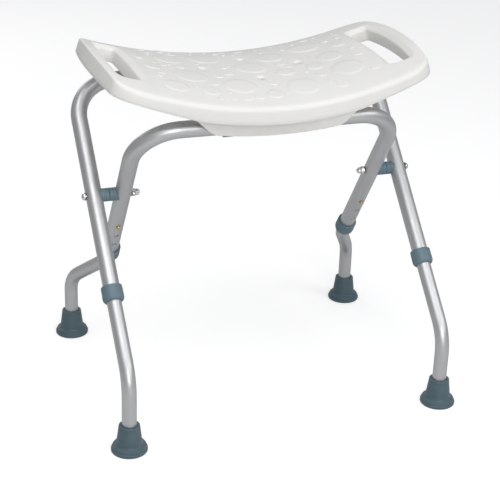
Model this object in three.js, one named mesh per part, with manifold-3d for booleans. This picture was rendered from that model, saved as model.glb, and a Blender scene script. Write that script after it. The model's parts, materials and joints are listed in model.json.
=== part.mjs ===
// Folding shower stool: two crossed U frames, a saddle seat and telescopic legs.
// Millimetres, +Z up, the front of the stool faces -Y, the origin is on the floor under its centre.
import * as THREE from 'three';
import { mergeVertices } from 'three/addons/utils/BufferGeometryUtils.js';
import Module from 'manifold-3d';

const wasm = await Module();
wasm.setup();

// ---- driving dimensions ----
const pivot = { y: 14.5, z: 323 };
const outerFrame = { half: 252.6, tilt: 45.5, rise: 196.5 }; // rear crossbar, front feet
const innerFrame = { half: 207.5, tilt: -33.6, rise: 150 }; // front crossbar, rear feet
const frameTube = { radius: 12.7, bore: 11.5, bend: 67, end: 168 };
const legTube = { radius: 11.1, bore: 9.7, top: 52 };
const foot = { y: 195.5, bottom: 11.2 };
const frontLeg = { bend: 68 };
const rearLeg = { jogFrom: 185.5, jogX: 253.6, jogZ: 104, bend: 44 };
const button = { along: 75, pitch: 25, holes: 3, radius: 3.2, hole: 3.7 };
const collar = { from: 148.5, to: 172.5, radius: 16.3 };
const spacer = { radius: 10.4, split: 0.3 };
const bolt = { radius: 3.9, hole: 4.3 };
const seat = {
  yCentre: 32, z: 502, halfWidth: 250, halfDepth: 150, bow: 14, frontBow: 13, corner: 40,
  dish: 6.8e-4, crown: 14.5, crownReach: 145, crownPower: 2.5,
  wall: 5, plate: 4.5, rim: 26,
};
const lean = { from: 150, run: 50 }; // where the seat's walls begin to lean outwards
const cornerLift = { from: 125, run: 80, share: 0.6 }; // how the rim grows shallow at the corners
const slot = { inner: 187.5, outer: 236, halfLength: 92, corner: 16, collar: 4 };
const drain = { radius: 5.4, x: 77.5, y: 49 };
const ribs = { thickness: 2.6, depth: 16, pitch: 56 };
const skirt = { yFront: -101.5, thickness: 4.5, drop: 50, bulge: 6, halfBottom: 101, halfTop: 129 };
const saddle = { x: 118, width: 20, bore: 13.2, halfDepth: 21.5, strap: 2.2, ear: 5, screwAt: 18.2 };
const clip = { x: 70, width: 22, bore: 13.1, screwAt: 21, halfDepth: 26, ear: 6, front: 17.2 };
const screw = { radius: 1.5, head: 2.7, headHeight: 1.8, saddleLength: 20, clipLength: 18 };
const washer = { radius: 6.2, thickness: 1.2 };
const capNut = { corner: 6.3, hex: 5, dome: 11.9, domeRadius: 5.3 };
const boltHead = { radius: 5.8, seat: 1.8, height: 4.6, tail: 9.5 };
const tip = { flange: 27.4, neck: 19.6, top: 14.8, height: 43, floor: 9 };
const leafSpring = { leaf: 0.6, width: 5, reach: 34, bend: 8, back: -5, top: 6.9, bottom: -8.6, tail: 2 };
const gap = 0.3;
const cutReach = { below: 400, above: 600 }; // heights that clear the seat on both sides
const embed = 3; // how deep a block under the seat starts, below the top surface

const sides = { left: -1, right: 1 };
const segments = { tube: 14, small: 8, foot: 16 };

// ---- finishes ----
function finish(color, roughness, metalness) {
  return new THREE.MeshStandardMaterial({ color, roughness, metalness });
}

const materials = {
  seat: finish(0xeceae6, 0.45, 0),
  aluminium: finish(0xc4c6c8, 0.35, 0.9),
  slate: finish(0x64798a, 0.6, 0),
  rubber: finish(0x4a616b, 0.8, 0),
  chrome: finish(0xe4e4e4, 0.12, 1),
  steel: finish(0x9fa2a5, 0.35, 1),
  brass: finish(0xcb9a4c, 0.3, 1),
};

// ---- solids: joining and cutting ----
function solid(geometry) {
  const bare = geometry.clone();
  bare.deleteAttribute('normal');
  bare.deleteAttribute('uv');
  const merged = mergeVertices(bare, 1e-4);
  return new wasm.Manifold(new wasm.Mesh({
    numProp: 3,
    vertProperties: new Float32Array(merged.attributes.position.array),
    triVerts: new Uint32Array(merged.index.array),
  }));
}

function geometryOf(body) {
  const mesh = body.getMesh();
  const geometry = new THREE.BufferGeometry();
  geometry.setAttribute('position', new THREE.BufferAttribute(new Float32Array(mesh.vertProperties), 3));
  geometry.setIndex(new THREE.BufferAttribute(new Uint32Array(mesh.triVerts), 1));
  return geometry;
}

function cut(body, ...tools) {
  return tools.reduce((rest, tool) => rest.subtract(tool), body);
}

function join(body, ...others) {
  return others.reduce((whole, other) => whole.add(other), body);
}

function node(name, geometry, material) {
  const mesh = new THREE.Mesh(geometry, materials[material]);
  mesh.name = name;
  return mesh;
}

// ---- shared shapes ----
function circle(radius, count) {
  const step = (2 * Math.PI) / count;
  return Array.from({ length: count }, (_, i) => (
    new THREE.Vector2(radius * Math.cos(i * step), radius * Math.sin(i * step))));
}

// A cylinder from one point to another.
function rod(from, to, radius, count = segments.small) {
  const axis = new THREE.Vector3().subVectors(to, from);
  const geometry = new THREE.CylinderGeometry(radius, radius, axis.length(), count);
  const turn = new THREE.Quaternion();
  turn.setFromUnitVectors(new THREE.Vector3(0, 1, 0), axis.clone().normalize());
  geometry.applyQuaternion(turn);
  geometry.translate(...new THREE.Vector3().addVectors(from, to).multiplyScalar(0.5));
  return geometry;
}

// A turned piece about +Z; the profile is [radius, height] pairs.
function turned(profile, count) {
  const points = profile.map(([r, z]) => new THREE.Vector2(r, z));
  return new THREE.LatheGeometry(points, count).rotateX(Math.PI / 2);
}

// Moves a piece made along +Z so that it starts at a point and runs along a direction.
function aimed(geometry, at, direction) {
  const turn = new THREE.Quaternion().setFromUnitVectors(new THREE.Vector3(0, 0, 1), direction);
  return geometry.clone().applyQuaternion(turn).translate(at.x, at.y, at.z);
}

// A flat outline in Y and Z, thickened along X about a middle.
function plateAlongX(shape, x, width) {
  const geometry = new THREE.ExtrudeGeometry(shape, { depth: width, bevelEnabled: false, curveSegments: 8 });
  const turn = new THREE.Matrix4().makeBasis(
    new THREE.Vector3(0, 1, 0), new THREE.Vector3(0, 0, 1), new THREE.Vector3(1, 0, 0));
  return geometry.applyMatrix4(turn).translate(x - width / 2, 0, 0);
}

// A flat outline in X and Y, thickened from z0 to z1.
function plateAlongZ(shape, z0, z1) {
  const options = { depth: z1 - z0, bevelEnabled: false, curveSegments: 5 };
  const geometry = new THREE.ExtrudeGeometry(shape, options);
  return geometry.translate(0, 0, z0);
}

function block(x0, x1, y0, y1, z0, z1) {
  const geometry = new THREE.BoxGeometry(x1 - x0, y1 - y0, z1 - z0);
  return geometry.translate((x0 + x1) / 2, (y0 + y1) / 2, (z0 + z1) / 2);
}

// A route of straight runs joined by arcs, with one station at each end of an arc and a few along it.
class BentRoute extends THREE.Curve {
  constructor(corners, radius, arcSteps) {
    super();
    this.points = [corners[0]];
    this.tangents = [new THREE.Vector3().subVectors(corners[1], corners[0]).normalize()];
    for (let i = 1; i < corners.length - 1; i += 1) {
      this.addArc(corners[i - 1], corners[i], corners[i + 1], radius, arcSteps);
    }
    this.points.push(corners[corners.length - 1]);
    this.tangents.push(this.tangents[this.tangents.length - 1]);
    this.steps = this.points.length - 1;
  }

  addArc(before, corner, after, radius, arcSteps) {
    const into = new THREE.Vector3().subVectors(corner, before).normalize();
    const out = new THREE.Vector3().subVectors(after, corner).normalize();
    const turn = into.angleTo(out);
    const inward = new THREE.Vector3().subVectors(out, into).normalize();
    const centre = corner.clone().addScaledVector(inward, radius / Math.cos(turn / 2));
    const axis = new THREE.Vector3().crossVectors(into, out).normalize();
    const start = corner.clone().addScaledVector(into, -radius * Math.tan(turn / 2)).sub(centre);
    for (let i = 0; i <= arcSteps; i += 1) {
      const angle = (turn * i) / arcSteps;
      this.points.push(start.clone().applyAxisAngle(axis, angle).add(centre));
      this.tangents.push(into.clone().applyAxisAngle(axis, angle));
    }
  }

  getPointAt(u, target = new THREE.Vector3()) {
    return target.copy(this.points[Math.round(u * this.steps)]);
  }

  getTangentAt(u, target = new THREE.Vector3()) {
    return target.copy(this.tangents[Math.round(u * this.steps)]);
  }
}

function tubeAlong(route, radius, bore) {
  const section = new THREE.Shape(circle(radius, segments.tube));
  section.holes.push(new THREE.Path(circle(bore, segments.tube)));
  return new THREE.ExtrudeGeometry(section, { steps: route.steps, extrudePath: route });
}

// ---- places on the legs ----
function legDirection(frame) {
  const tilt = THREE.MathUtils.degToRad(frame.tilt);
  return new THREE.Vector3(0, -Math.sin(tilt), -Math.cos(tilt));
}

// A point on a leg's axis, a distance below the pivot.
function onLeg(frame, side, below) {
  return new THREE.Vector3(side * frame.half, pivot.y, pivot.z).addScaledVector(legDirection(frame), below);
}

// The way the underside of a leg faces, square to the leg.
function undersideNormal(frame) {
  const along = legDirection(frame);
  const facing = Math.sign(frame.tilt);
  return new THREE.Vector3(0, -along.z * facing, along.y * facing);
}

function crossbarCentre(frame) {
  return onLeg(frame, 0, -frame.rise).setX(0);
}

// ---- frames ----
function buttonHoles(frame, side, radius, count) {
  const out = undersideNormal(frame);
  return Array.from({ length: count }, (_, i) => {
    const centre = onLeg(frame, side, button.along + i * button.pitch);
    return solid(rod(centre, centre.clone().addScaledVector(out, 20), radius));
  });
}

function frameGeometry(frame) {
  const corners = [
    onLeg(frame, -1, frameTube.end), onLeg(frame, -1, -frame.rise),
    onLeg(frame, 1, -frame.rise), onLeg(frame, 1, frameTube.end),
  ];
  const tube = solid(tubeAlong(new BentRoute(corners, frameTube.bend, 5), frameTube.radius, frameTube.bore));
  const holes = Object.values(sides).flatMap((side) => {
    const centre = onLeg(frame, side, 0);
    const across = new THREE.Vector3(20, 0, 0);
    const pivotHole = solid(rod(centre.clone().sub(across), centre.clone().add(across), bolt.hole));
    return [pivotHole, ...buttonHoles(frame, side, button.hole, button.holes)];
  });
  return geometryOf(cut(tube, ...holes));
}

function frontLegRoute(side) {
  const direction = legDirection(outerFrame);
  const knee = (pivot.y + foot.y) / -direction.y;
  const bottom = new THREE.Vector3(side * outerFrame.half, -foot.y, foot.bottom);
  const corners = [onLeg(outerFrame, side, legTube.top), onLeg(outerFrame, side, knee), bottom];
  return new BentRoute(corners, frontLeg.bend, 4);
}

function rearLegRoute(side) {
  const knee = new THREE.Vector3(side * rearLeg.jogX, foot.y, rearLeg.jogZ);
  const bottom = knee.clone().setZ(foot.bottom);
  const top = onLeg(innerFrame, side, legTube.top);
  const corners = [top, onLeg(innerFrame, side, rearLeg.jogFrom), knee, bottom];
  return new BentRoute(corners, rearLeg.bend, 4);
}

function legGeometry(frame, side, route) {
  const tube = solid(tubeAlong(route, legTube.radius, legTube.bore));
  return geometryOf(cut(tube, ...buttonHoles(frame, side, button.hole, 1)));
}

function collarGeometry() {
  const { radius } = collar;
  const length = collar.to - collar.from;
  const topBore = frameTube.radius + 0.6;
  const bottomBore = legTube.radius + 0.55;
  const shoulder = frameTube.end - collar.from + gap;
  return turned([
    [topBore, 0], [radius - 0.8, 0], [radius, 0.8], [radius, length - 3.5], [radius - 2.4, length],
    [bottomBore, length], [bottomBore, shoulder], [topBore, shoulder], [topBore, 0],
  ], segments.tube);
}

// ---- feet ----
function footTipGeometry() {
  const { flange, neck, top, height, floor } = tip;
  const bore = legTube.radius + 0.45;
  return turned([
    [0, 0], [flange - 1.4, 0], [flange, 1.4], [flange, 6], [flange - 2.9, 9.5], [neck, 12], [neck - 1.4, 16],
    [top + 1, height - 2.5], [top, height], [bore, height], [bore, floor], [0, floor],
  ], segments.foot);
}

function footWasherGeometry() {
  const radius = legTube.radius - 0.2;
  const low = tip.floor + gap;
  return turned([[0, low], [radius, low], [radius, low + 1.5], [0, low + 1.5]], segments.tube);
}

// ---- snap buttons ----
function snapButtonGeometry() {
  const { radius } = button;
  return turned([
    [0, 7.2], [4.2, 7.2], [4.2, 8.1], [radius, 8.1], [radius, 14.6], [radius * 0.72, 15.9], [0, 16.4],
  ], segments.small);
}

// A folded strip that lies across the tube's bore: one leaf under the button, one on the far wall.
function springGeometry() {
  const { leaf, width, reach, bend, back, top, bottom, tail } = leafSpring;
  const middle = (top + bottom) / 2 + 0.25;
  const outline = new THREE.Shape();
  outline.moveTo(back, top);
  outline.lineTo(bend, top);
  outline.lineTo(reach, middle + tail);
  outline.lineTo(reach + 1.6, middle);
  outline.lineTo(reach, middle - tail);
  outline.lineTo(back, bottom);
  outline.lineTo(back, bottom + leaf);
  outline.lineTo(reach - leaf, middle - tail + leaf);
  outline.lineTo(reach + 1.6 - leaf * 1.6, middle);
  outline.lineTo(reach - leaf, middle + tail - leaf);
  outline.lineTo(bend, top - leaf);
  outline.lineTo(back, top - leaf);
  const geometry = new THREE.ExtrudeGeometry(outline, { depth: width, bevelEnabled: false });
  return geometry.translate(0, 0, -width / 2);
}

// Stands a piece drawn with x along the leg and y towards the underside in its place on a leg.
function acrossLeg(geometry, frame, side) {
  const along = legDirection(frame);
  const out = undersideNormal(frame);
  const across = new THREE.Vector3().crossVectors(along, out);
  const place = new THREE.Matrix4().makeBasis(along, out, across);
  const centre = onLeg(frame, side, button.along);
  return geometry.clone().applyMatrix4(place).translate(centre.x, centre.y, centre.z);
}

// ---- pivots ----
const outerFace = outerFrame.half + frameTube.radius;
const innerFace = innerFrame.half - frameTube.radius;
const pivotPoint = (side, x) => new THREE.Vector3(side * x, pivot.y, pivot.z);
const inward = (side) => new THREE.Vector3(-side, 0, 0);

// The two halves of a spacer meet in the middle of the gap, and each has a hollow end that hugs its tube.
function spacerGeometry(frame, side) {
  const middle = (outerFrame.half + innerFrame.half) / 2;
  const near = middle + Math.sign(frame.half - middle) * (spacer.split / 2);
  const far = frame.half + Math.sign(middle - frame.half) * 7;
  const body = solid(rod(pivotPoint(side, near), pivotPoint(side, far), spacer.radius, segments.tube));
  const tubeEnds = [onLeg(frame, side, -40), onLeg(frame, side, 40)];
  const tube = solid(rod(...tubeEnds, frameTube.radius + 0.5, segments.tube * 2));
  const hole = solid(rod(pivotPoint(side, near - 15), pivotPoint(side, near + 15), bolt.hole));
  return geometryOf(cut(body, tube, hole));
}

function washerGeometry() {
  const { radius, thickness } = washer;
  return turned([
    [bolt.hole, 0], [radius, 0], [radius, thickness], [bolt.hole, thickness], [bolt.hole, 0],
  ], segments.tube);
}

// Drawn along +Z from the outer face of the outer leg: head below 0, thread above.
function pivotBoltGeometry() {
  const length = outerFace - innerFace + boltHead.tail;
  const top = -boltHead.seat - boltHead.height;
  return turned([
    [0, top], [boltHead.radius - 2.4, top + 0.4], [boltHead.radius - 0.6, top + 2],
    [boltHead.radius, -boltHead.seat], [bolt.radius, -boltHead.seat], [bolt.radius, length], [0, length],
  ], segments.small);
}

function capNutGeometry() {
  const { corner, hex, dome, domeRadius } = capNut;
  const bore = bolt.radius + 0.35;
  const start = hex - 0.5;
  const roof = dome - 3.3;
  const outline = new THREE.Shape(circle(corner, 6));
  outline.holes.push(new THREE.Path(circle(bore, segments.small)));
  const nut = solid(plateAlongZ(outline, 0, hex));
  const cap = solid(turned([
    [bore, start], [domeRadius, start], [domeRadius, hex + 2], [domeRadius - 0.9, dome - 2.3],
    [domeRadius - 2.7, dome - 0.7], [0, dome], [0, roof], [bore, roof], [bore, start],
  ], segments.small));
  return geometryOf(join(nut, cap));
}

// ---- seat ----
function crownDrop(y) {
  return seat.crown * (Math.abs(y - seat.yCentre) / seat.crownReach) ** seat.crownPower;
}

function seatHeight(x, y) {
  return seat.z + seat.dish * x * x - crownDrop(y);
}

// 0 in the middle of the seat and 1 at its ends.
function towardsEnds(x, { from, run }) {
  return THREE.MathUtils.clamp((Math.abs(x) - from) / run, 0, 1);
}

// The space between two copies of the seat's top surface, each lowered by a drop.
// The lift raises the lower one at the seat's corners.
function bentSlab(topDrop, bottomDrop, lift = 0) {
  const geometry = new THREE.BoxGeometry(2 * seat.halfWidth + 20, 2 * seat.halfDepth + 20, 2, 12, 8, 1);
  geometry.translate(0, seat.yCentre, 0);
  const position = geometry.attributes.position;
  for (let i = 0; i < position.count; i += 1) {
    const x = position.getX(i);
    const y = position.getY(i);
    const raised = lift * towardsEnds(x, cornerLift) * crownDrop(y);
    const drop = position.getZ(i) > 0 ? topDrop : bottomDrop - raised;
    position.setZ(i, seatHeight(x, y) - drop);
  }
  return solid(geometry);
}

// The seat's plan: a straight back edge, a gently bowed front edge, bowed ends and round corners.
function seatPlan(inset) {
  const w = seat.halfWidth - inset;
  const d = seat.halfDepth - inset;
  const r = seat.corner - inset;
  const y = seat.yCentre;
  const endX = w - seat.bow * ((d - r) / d) ** 2;
  const bowX = 2 * w - endX;
  const cornerX = endX - (r * (bowX - endX)) / (d - r);
  const front = y - d + seat.frontBow;
  const frontCorner = front + (2 * seat.frontBow * r) / (cornerX - r);
  const plan = new THREE.Shape();
  plan.moveTo(-cornerX + r, front);
  plan.quadraticCurveTo(0, front - 2 * seat.frontBow, cornerX - r, front);
  plan.quadraticCurveTo(cornerX, frontCorner, endX, y - d + r);
  plan.quadraticCurveTo(bowX, y, endX, y + d - r);
  plan.quadraticCurveTo(cornerX, y + d, cornerX - r, y + d);
  plan.lineTo(-cornerX + r, y + d);
  plan.quadraticCurveTo(-cornerX, y + d, -endX, y + d - r);
  plan.quadraticCurveTo(-bowX, y, -endX, y - d + r);
  plan.quadraticCurveTo(-cornerX, frontCorner, -cornerX + r, front);
  return plan;
}

// A handle slot's plan: straight towards the middle, bowed like the seat's end on the outside.
function slotPlan(side, grow) {
  const inner = slot.inner - grow;
  const outer = slot.outer + grow;
  const half = slot.halfLength + grow;
  const r = slot.corner + grow;
  const y = seat.yCentre;
  const endX = outer - seat.bow * ((half - r) / seat.halfDepth) ** 2;
  const plan = new THREE.Shape();
  plan.moveTo(side * inner, y - half + r);
  plan.quadraticCurveTo(side * inner, y - half, side * (inner + r), y - half);
  plan.lineTo(side * (endX - r), y - half);
  plan.quadraticCurveTo(side * endX, y - half, side * endX, y - half + r);
  plan.quadraticCurveTo(side * (2 * outer - endX), y, side * endX, y + half - r);
  plan.quadraticCurveTo(side * endX, y + half, side * (endX - r), y + half);
  plan.lineTo(side * (inner + r), y + half);
  plan.quadraticCurveTo(side * inner, y + half, side * inner, y + half - r);
  plan.closePath();
  return plan;
}

function tall(shape) {
  return solid(plateAlongZ(shape, cutReach.below, cutReach.above));
}

function drainCentres() {
  const y = seat.yCentre + 1;
  return [[-drain.x, y], [drain.x, y], [0, y - drain.y], [0, y + drain.y]];
}

function postAt(x, y, radius, z0 = cutReach.below, z1 = cutReach.above) {
  return solid(rod(new THREE.Vector3(x, y, z0), new THREE.Vector3(x, y, z1), radius, segments.small));
}

// Ribs under the plate run both ways, evenly spaced about the seat's centre.
function ribGrid() {
  const half = ribs.thickness / 2;
  const { below, above } = cutReach;
  const endX = seat.halfWidth + 10;
  const endY = seat.halfDepth + 10;
  const bars = [];
  for (const i of [-2.5, -1.5, -0.5, 0.5, 1.5, 2.5]) {
    const x = i * ribs.pitch;
    bars.push(solid(block(x - half, x + half, seat.yCentre - endY, seat.yCentre + endY, below, above)));
  }
  for (const i of [-2, -1, 0, 1, 2]) {
    const y = seat.yCentre + i * ribs.pitch;
    bars.push(solid(block(-endX, endX, y - half, y + half, below, above)));
  }
  return join(...bars);
}

// The hollow under the plate, left out around the ribs, slots and drains.
function seatHollow() {
  const inside = tall(seatPlan(seat.wall)).intersect(bentSlab(seat.plate, 100));
  const ribSolid = ribGrid().intersect(bentSlab(0, ribs.depth));
  const slotWalls = Object.values(sides).map((side) => tall(slotPlan(side, slot.collar)));
  const drainWalls = drainCentres().map(([x, y]) => postAt(x, y, drain.radius + 2.5));
  return cut(inside, ribSolid, ...slotWalls, ...drainWalls);
}

// A low wall behind the front rim that hides the front crossbar, with slanted ends.
function skirtSolid() {
  const z = seatHeight(0, skirt.yFront);
  const shoulder = z - seat.rim + 8;
  const corner = z - skirt.drop + skirt.bulge;
  const top = z + 30;
  const plan = new THREE.Shape();
  plan.moveTo(-skirt.halfTop, shoulder);
  plan.lineTo(-skirt.halfBottom, corner);
  plan.quadraticCurveTo(0, corner - 2 * skirt.bulge, skirt.halfBottom, corner);
  plan.lineTo(skirt.halfTop, shoulder);
  plan.lineTo(skirt.halfTop, top);
  plan.lineTo(-skirt.halfTop, top);
  const options = { depth: skirt.thickness, bevelEnabled: false, curveSegments: 5 };
  const wall = new THREE.ExtrudeGeometry(plan, options);
  wall.rotateX(Math.PI / 2).translate(0, skirt.yFront + skirt.thickness, 0);
  return solid(wall).intersect(bentSlab(2, 100));
}

const rearBar = crossbarCentre(outerFrame);
const frontBar = crossbarCentre(innerFrame);
const clipTop = frontBar.z + clip.bore + 8;

// Solid blocks under the plate that the saddles and clips screw to.
function saddleBlock(side) {
  const x = side * saddle.x;
  const half = saddle.width / 2;
  const { halfDepth, bore, width } = saddle;
  const body = solid(block(x - half, x + half, rearBar.y - halfDepth, rearBar.y + halfDepth,
    rearBar.z + gap, cutReach.above));
  const hole = solid(rod(rearBar.clone().setX(x - width), rearBar.clone().setX(x + width), bore, 20));
  return cut(body.intersect(bentSlab(embed, 100)), hole);
}

function clipBlock(side) {
  const x = side * clip.x;
  const half = clip.width / 2;
  const body = solid(block(x - half, x + half, skirt.yFront + 3, frontBar.y + clip.halfDepth + 1,
    clipTop + gap, cutReach.above));
  return body.intersect(bentSlab(embed, 100));
}

function screwPlaces() {
  const places = [];
  for (const [name, side] of Object.entries(sides)) {
    for (const [end, sign] of [['front', -1], ['rear', 1]]) {
      places.push({
        name: `rear_saddle_screw_${name}_${end}`, x: side * saddle.x,
        y: rearBar.y + sign * saddle.screwAt, z: rearBar.z - saddle.ear - gap, length: screw.saddleLength,
      });
      places.push({
        name: `front_clip_screw_${name}_${end}`, x: side * clip.x,
        y: frontBar.y + sign * clip.screwAt, z: clipTop - clip.ear, length: screw.clipLength,
      });
    }
  }
  return places;
}

// Towards its ends the seat's walls lean outwards, square to the dished top.
function leanEnds(geometry) {
  const position = geometry.attributes.position;
  for (let i = 0; i < position.count; i += 1) {
    const x = position.getX(i);
    const drop = seatHeight(x, position.getY(i)) - position.getZ(i);
    position.setX(i, x + 2 * seat.dish * x * drop * towardsEnds(x, lean));
  }
  return geometry;
}

function seatGeometry() {
  const panel = tall(seatPlan(0)).intersect(bentSlab(0, seat.rim, cornerLift.share));
  const blocks = Object.values(sides).flatMap((side) => [saddleBlock(side), clipBlock(side)]);
  const shell = join(cut(panel, seatHollow()), skirtSolid(), ...blocks);
  const slots = Object.values(sides).map((side) => tall(slotPlan(side, 0)));
  const drains = drainCentres().map(([x, y]) => postAt(x, y, drain.radius));
  const pilots = screwPlaces().map(({ x, y, z, length }) => (
    postAt(x, y, screw.radius + gap, z - 1, z + length + 0.5)));
  return leanEnds(geometryOf(cut(shell, ...slots, ...drains, ...pilots)));
}

// A half-round strap under the rear crossbar with an ear on each side for a screw.
function saddleGeometry(side) {
  const { y, z } = rearBar;
  const { bore, strap, halfDepth } = saddle;
  const top = z - gap;
  const low = top - saddle.ear;
  const out = bore + strap;
  const shape = new THREE.Shape();
  shape.moveTo(y - halfDepth, top);
  shape.lineTo(y - halfDepth, low);
  shape.lineTo(y - out, low);
  shape.absarc(y, z, out, Math.PI + 0.36, 2 * Math.PI - 0.36, false);
  shape.lineTo(y + out, low);
  shape.lineTo(y + halfDepth, low);
  shape.lineTo(y + halfDepth, top);
  shape.lineTo(y + bore, top);
  shape.absarc(y, z, bore, -0.03, -Math.PI + 0.03, true);
  const body = solid(plateAlongX(shape, side * saddle.x, saddle.width));
  const holes = [-1, 1].map((sign) => (
    postAt(side * saddle.x, y + sign * saddle.screwAt, screw.radius + gap, z - 12, z + 12)));
  return geometryOf(cut(body, ...holes));
}

// An open hook over the front crossbar: closed at the front, relieved at the back so that the bar can
// leave it downwards and rearwards as the stool folds.
function clipGeometry(side) {
  const { y, z } = frontBar;
  const { bore, halfDepth, front } = clip;
  const ear = clipTop - clip.ear;
  const rearLip = THREE.MathUtils.degToRad(30);
  const frontLip = THREE.MathUtils.degToRad(-160);
  const shape = new THREE.Shape();
  shape.moveTo(y - halfDepth, clipTop);
  shape.lineTo(y - halfDepth, ear);
  shape.lineTo(y - front, ear);
  shape.lineTo(y - front, z - 9);
  shape.lineTo(y - 12, z - 12.5);
  shape.lineTo(y - 9.6, z - 11.6);
  shape.absarc(y, z, bore, frontLip, rearLip, true);
  shape.lineTo(y + bore + 1.5, z + 3);
  shape.lineTo(y + bore + 4, z + 3.5);
  shape.lineTo(y + bore + 3.2, ear);
  shape.lineTo(y + halfDepth, ear);
  shape.lineTo(y + halfDepth, clipTop);
  const body = solid(plateAlongX(shape, side * clip.x, clip.width));
  const holes = [-1, 1].map((sign) => (
    postAt(side * clip.x, y + sign * clip.screwAt, screw.radius + gap, z - 30, z + 40)));
  return geometryOf(cut(body, ...holes));
}

function screwGeometry(length) {
  const { radius, head, headHeight } = screw;
  return turned([
    [0, -headHeight - gap], [head * 0.75, -headHeight - gap], [head, -gap - 0.8], [head, -gap],
    [radius, -gap], [radius, length - 1.5], [0.5, length], [0, length],
  ], segments.small);
}

// ---- the whole stool ----
const up = new THREE.Vector3(0, 0, 1);

function addSide(stool, name, side) {
  const legs = [
    { end: 'front', frame: outerFrame, route: frontLegRoute(side), x: outerFrame.half, y: -foot.y },
    { end: 'rear', frame: innerFrame, route: rearLegRoute(side), x: rearLeg.jogX, y: foot.y },
  ];
  for (const { end, frame, route, x, y } of legs) {
    const label = `${end}_${name}`;
    const underFoot = new THREE.Vector3(side * x, y, 0);
    stool.add(node(`${label}_leg_tube`, legGeometry(frame, side, route), 'aluminium'));
    stool.add(node(`${label}_collar`,
      aimed(collarGeometry(), onLeg(frame, side, collar.from), legDirection(frame)), 'slate'));
    stool.add(node(`${label}_foot_tip`, aimed(footTipGeometry(), underFoot, up), 'rubber'));
    stool.add(node(`${label}_foot_washer`, aimed(footWasherGeometry(), underFoot, up), 'steel'));
    stool.add(node(`${label}_snap_button`,
      aimed(snapButtonGeometry(), onLeg(frame, side, button.along), undersideNormal(frame)), 'brass'));
    stool.add(node(`${label}_button_spring`, acrossLeg(springGeometry(), frame, side), 'steel'));
  }
  stool.add(node(`pivot_spacer_outer_${name}`, spacerGeometry(outerFrame, side), 'slate'));
  stool.add(node(`pivot_spacer_inner_${name}`, spacerGeometry(innerFrame, side), 'slate'));
  stool.add(node(`pivot_bolt_${name}`,
    aimed(pivotBoltGeometry(), pivotPoint(side, outerFace), inward(side)), 'chrome'));
  stool.add(node(`pivot_head_washer_${name}`,
    aimed(washerGeometry(), pivotPoint(side, outerFace + 1.5), inward(side)), 'steel'));
  stool.add(node(`pivot_nut_washer_${name}`,
    aimed(washerGeometry(), pivotPoint(side, innerFace - gap), inward(side)), 'steel'));
  stool.add(node(`pivot_cap_nut_${name}`,
    aimed(capNutGeometry(), pivotPoint(side, innerFace - 1.8), inward(side)), 'chrome'));
  stool.add(node(`rear_saddle_${name}`, saddleGeometry(side), 'slate'));
  stool.add(node(`front_clip_${name}`, clipGeometry(side), 'slate'));
}

function buildStool() {
  const stool = new THREE.Group();
  stool.add(node('seat_shell', seatGeometry(), 'seat'));
  stool.add(node('outer_frame_tube', frameGeometry(outerFrame), 'aluminium'));
  stool.add(node('inner_frame_tube', frameGeometry(innerFrame), 'aluminium'));
  Object.entries(sides).forEach(([name, side]) => addSide(stool, name, side));
  for (const { name, x, y, z, length } of screwPlaces()) {
    const start = new THREE.Vector3(x, y, z);
    stool.add(node(name, aimed(screwGeometry(length), start, up), 'steel'));
  }
  return stool;
}

export default buildStool();
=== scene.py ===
# Folding shower stool: saddle seat with handle slots on two crossed U frames.
import json
import math
import random

import bmesh
import bpy
from mathutils import Matrix, Vector, geometry, kdtree


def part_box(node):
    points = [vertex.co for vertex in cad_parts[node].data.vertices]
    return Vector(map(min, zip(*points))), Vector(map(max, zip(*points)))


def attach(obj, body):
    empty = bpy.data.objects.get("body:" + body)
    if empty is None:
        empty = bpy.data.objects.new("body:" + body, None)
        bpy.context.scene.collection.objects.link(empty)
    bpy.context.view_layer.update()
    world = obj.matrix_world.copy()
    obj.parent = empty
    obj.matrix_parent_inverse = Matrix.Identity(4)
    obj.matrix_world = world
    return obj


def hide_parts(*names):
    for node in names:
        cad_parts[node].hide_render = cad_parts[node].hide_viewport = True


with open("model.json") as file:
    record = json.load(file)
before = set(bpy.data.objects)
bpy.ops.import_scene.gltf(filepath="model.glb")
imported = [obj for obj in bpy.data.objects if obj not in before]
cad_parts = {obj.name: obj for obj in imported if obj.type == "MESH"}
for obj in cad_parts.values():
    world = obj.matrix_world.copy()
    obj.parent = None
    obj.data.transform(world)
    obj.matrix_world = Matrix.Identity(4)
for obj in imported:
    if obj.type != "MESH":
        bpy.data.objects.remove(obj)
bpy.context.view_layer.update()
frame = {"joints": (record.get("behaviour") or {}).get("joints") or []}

joints = {joint["name"]: joint for joint in frame["joints"]}
sides = {"left": -1, "right": 1}
pivotAt = Vector(joints["fold"]["pos_m"])
rearBar = Vector(joints["seat_tilt"]["pos_m"])

# front legs belong to the outer U, rear legs to the inner one
frames = {
    "front": {"body": "outer_frame", "half": 0.2526, "rise": 0.1965},
    "rear": {"body": "inner_frame", "half": 0.2075, "rise": 0.150},
}
for end in frames:
    frames[end]["down"] = Vector(joints[end + "_left_leg_slide"]["axis"])
    frames[end]["under"] = -Vector(joints[end + "_left_button_press"]["axis"])


def onLeg(end, side, below):
    # a point on a leg's axis, so far below the pivot
    half = frames[end]["half"]
    return Vector((side * half, pivotAt.y, pivotAt.z)) + frames[end]["down"] * below


frontBar = onLeg("rear", 0, -frames["rear"]["rise"])


def addObject(name, data):
    made = bpy.data.objects.new(name, data)
    bpy.context.scene.collection.objects.link(made)
    return made


shot = {
    "azimuth": -19.93, "elevation": 23.69, "roll": 2.01, "distance": 2.1763,
    "target": (0.0, 0.0097, 0.2256), "lens": 97.756, "sensor": 36,
}


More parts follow.
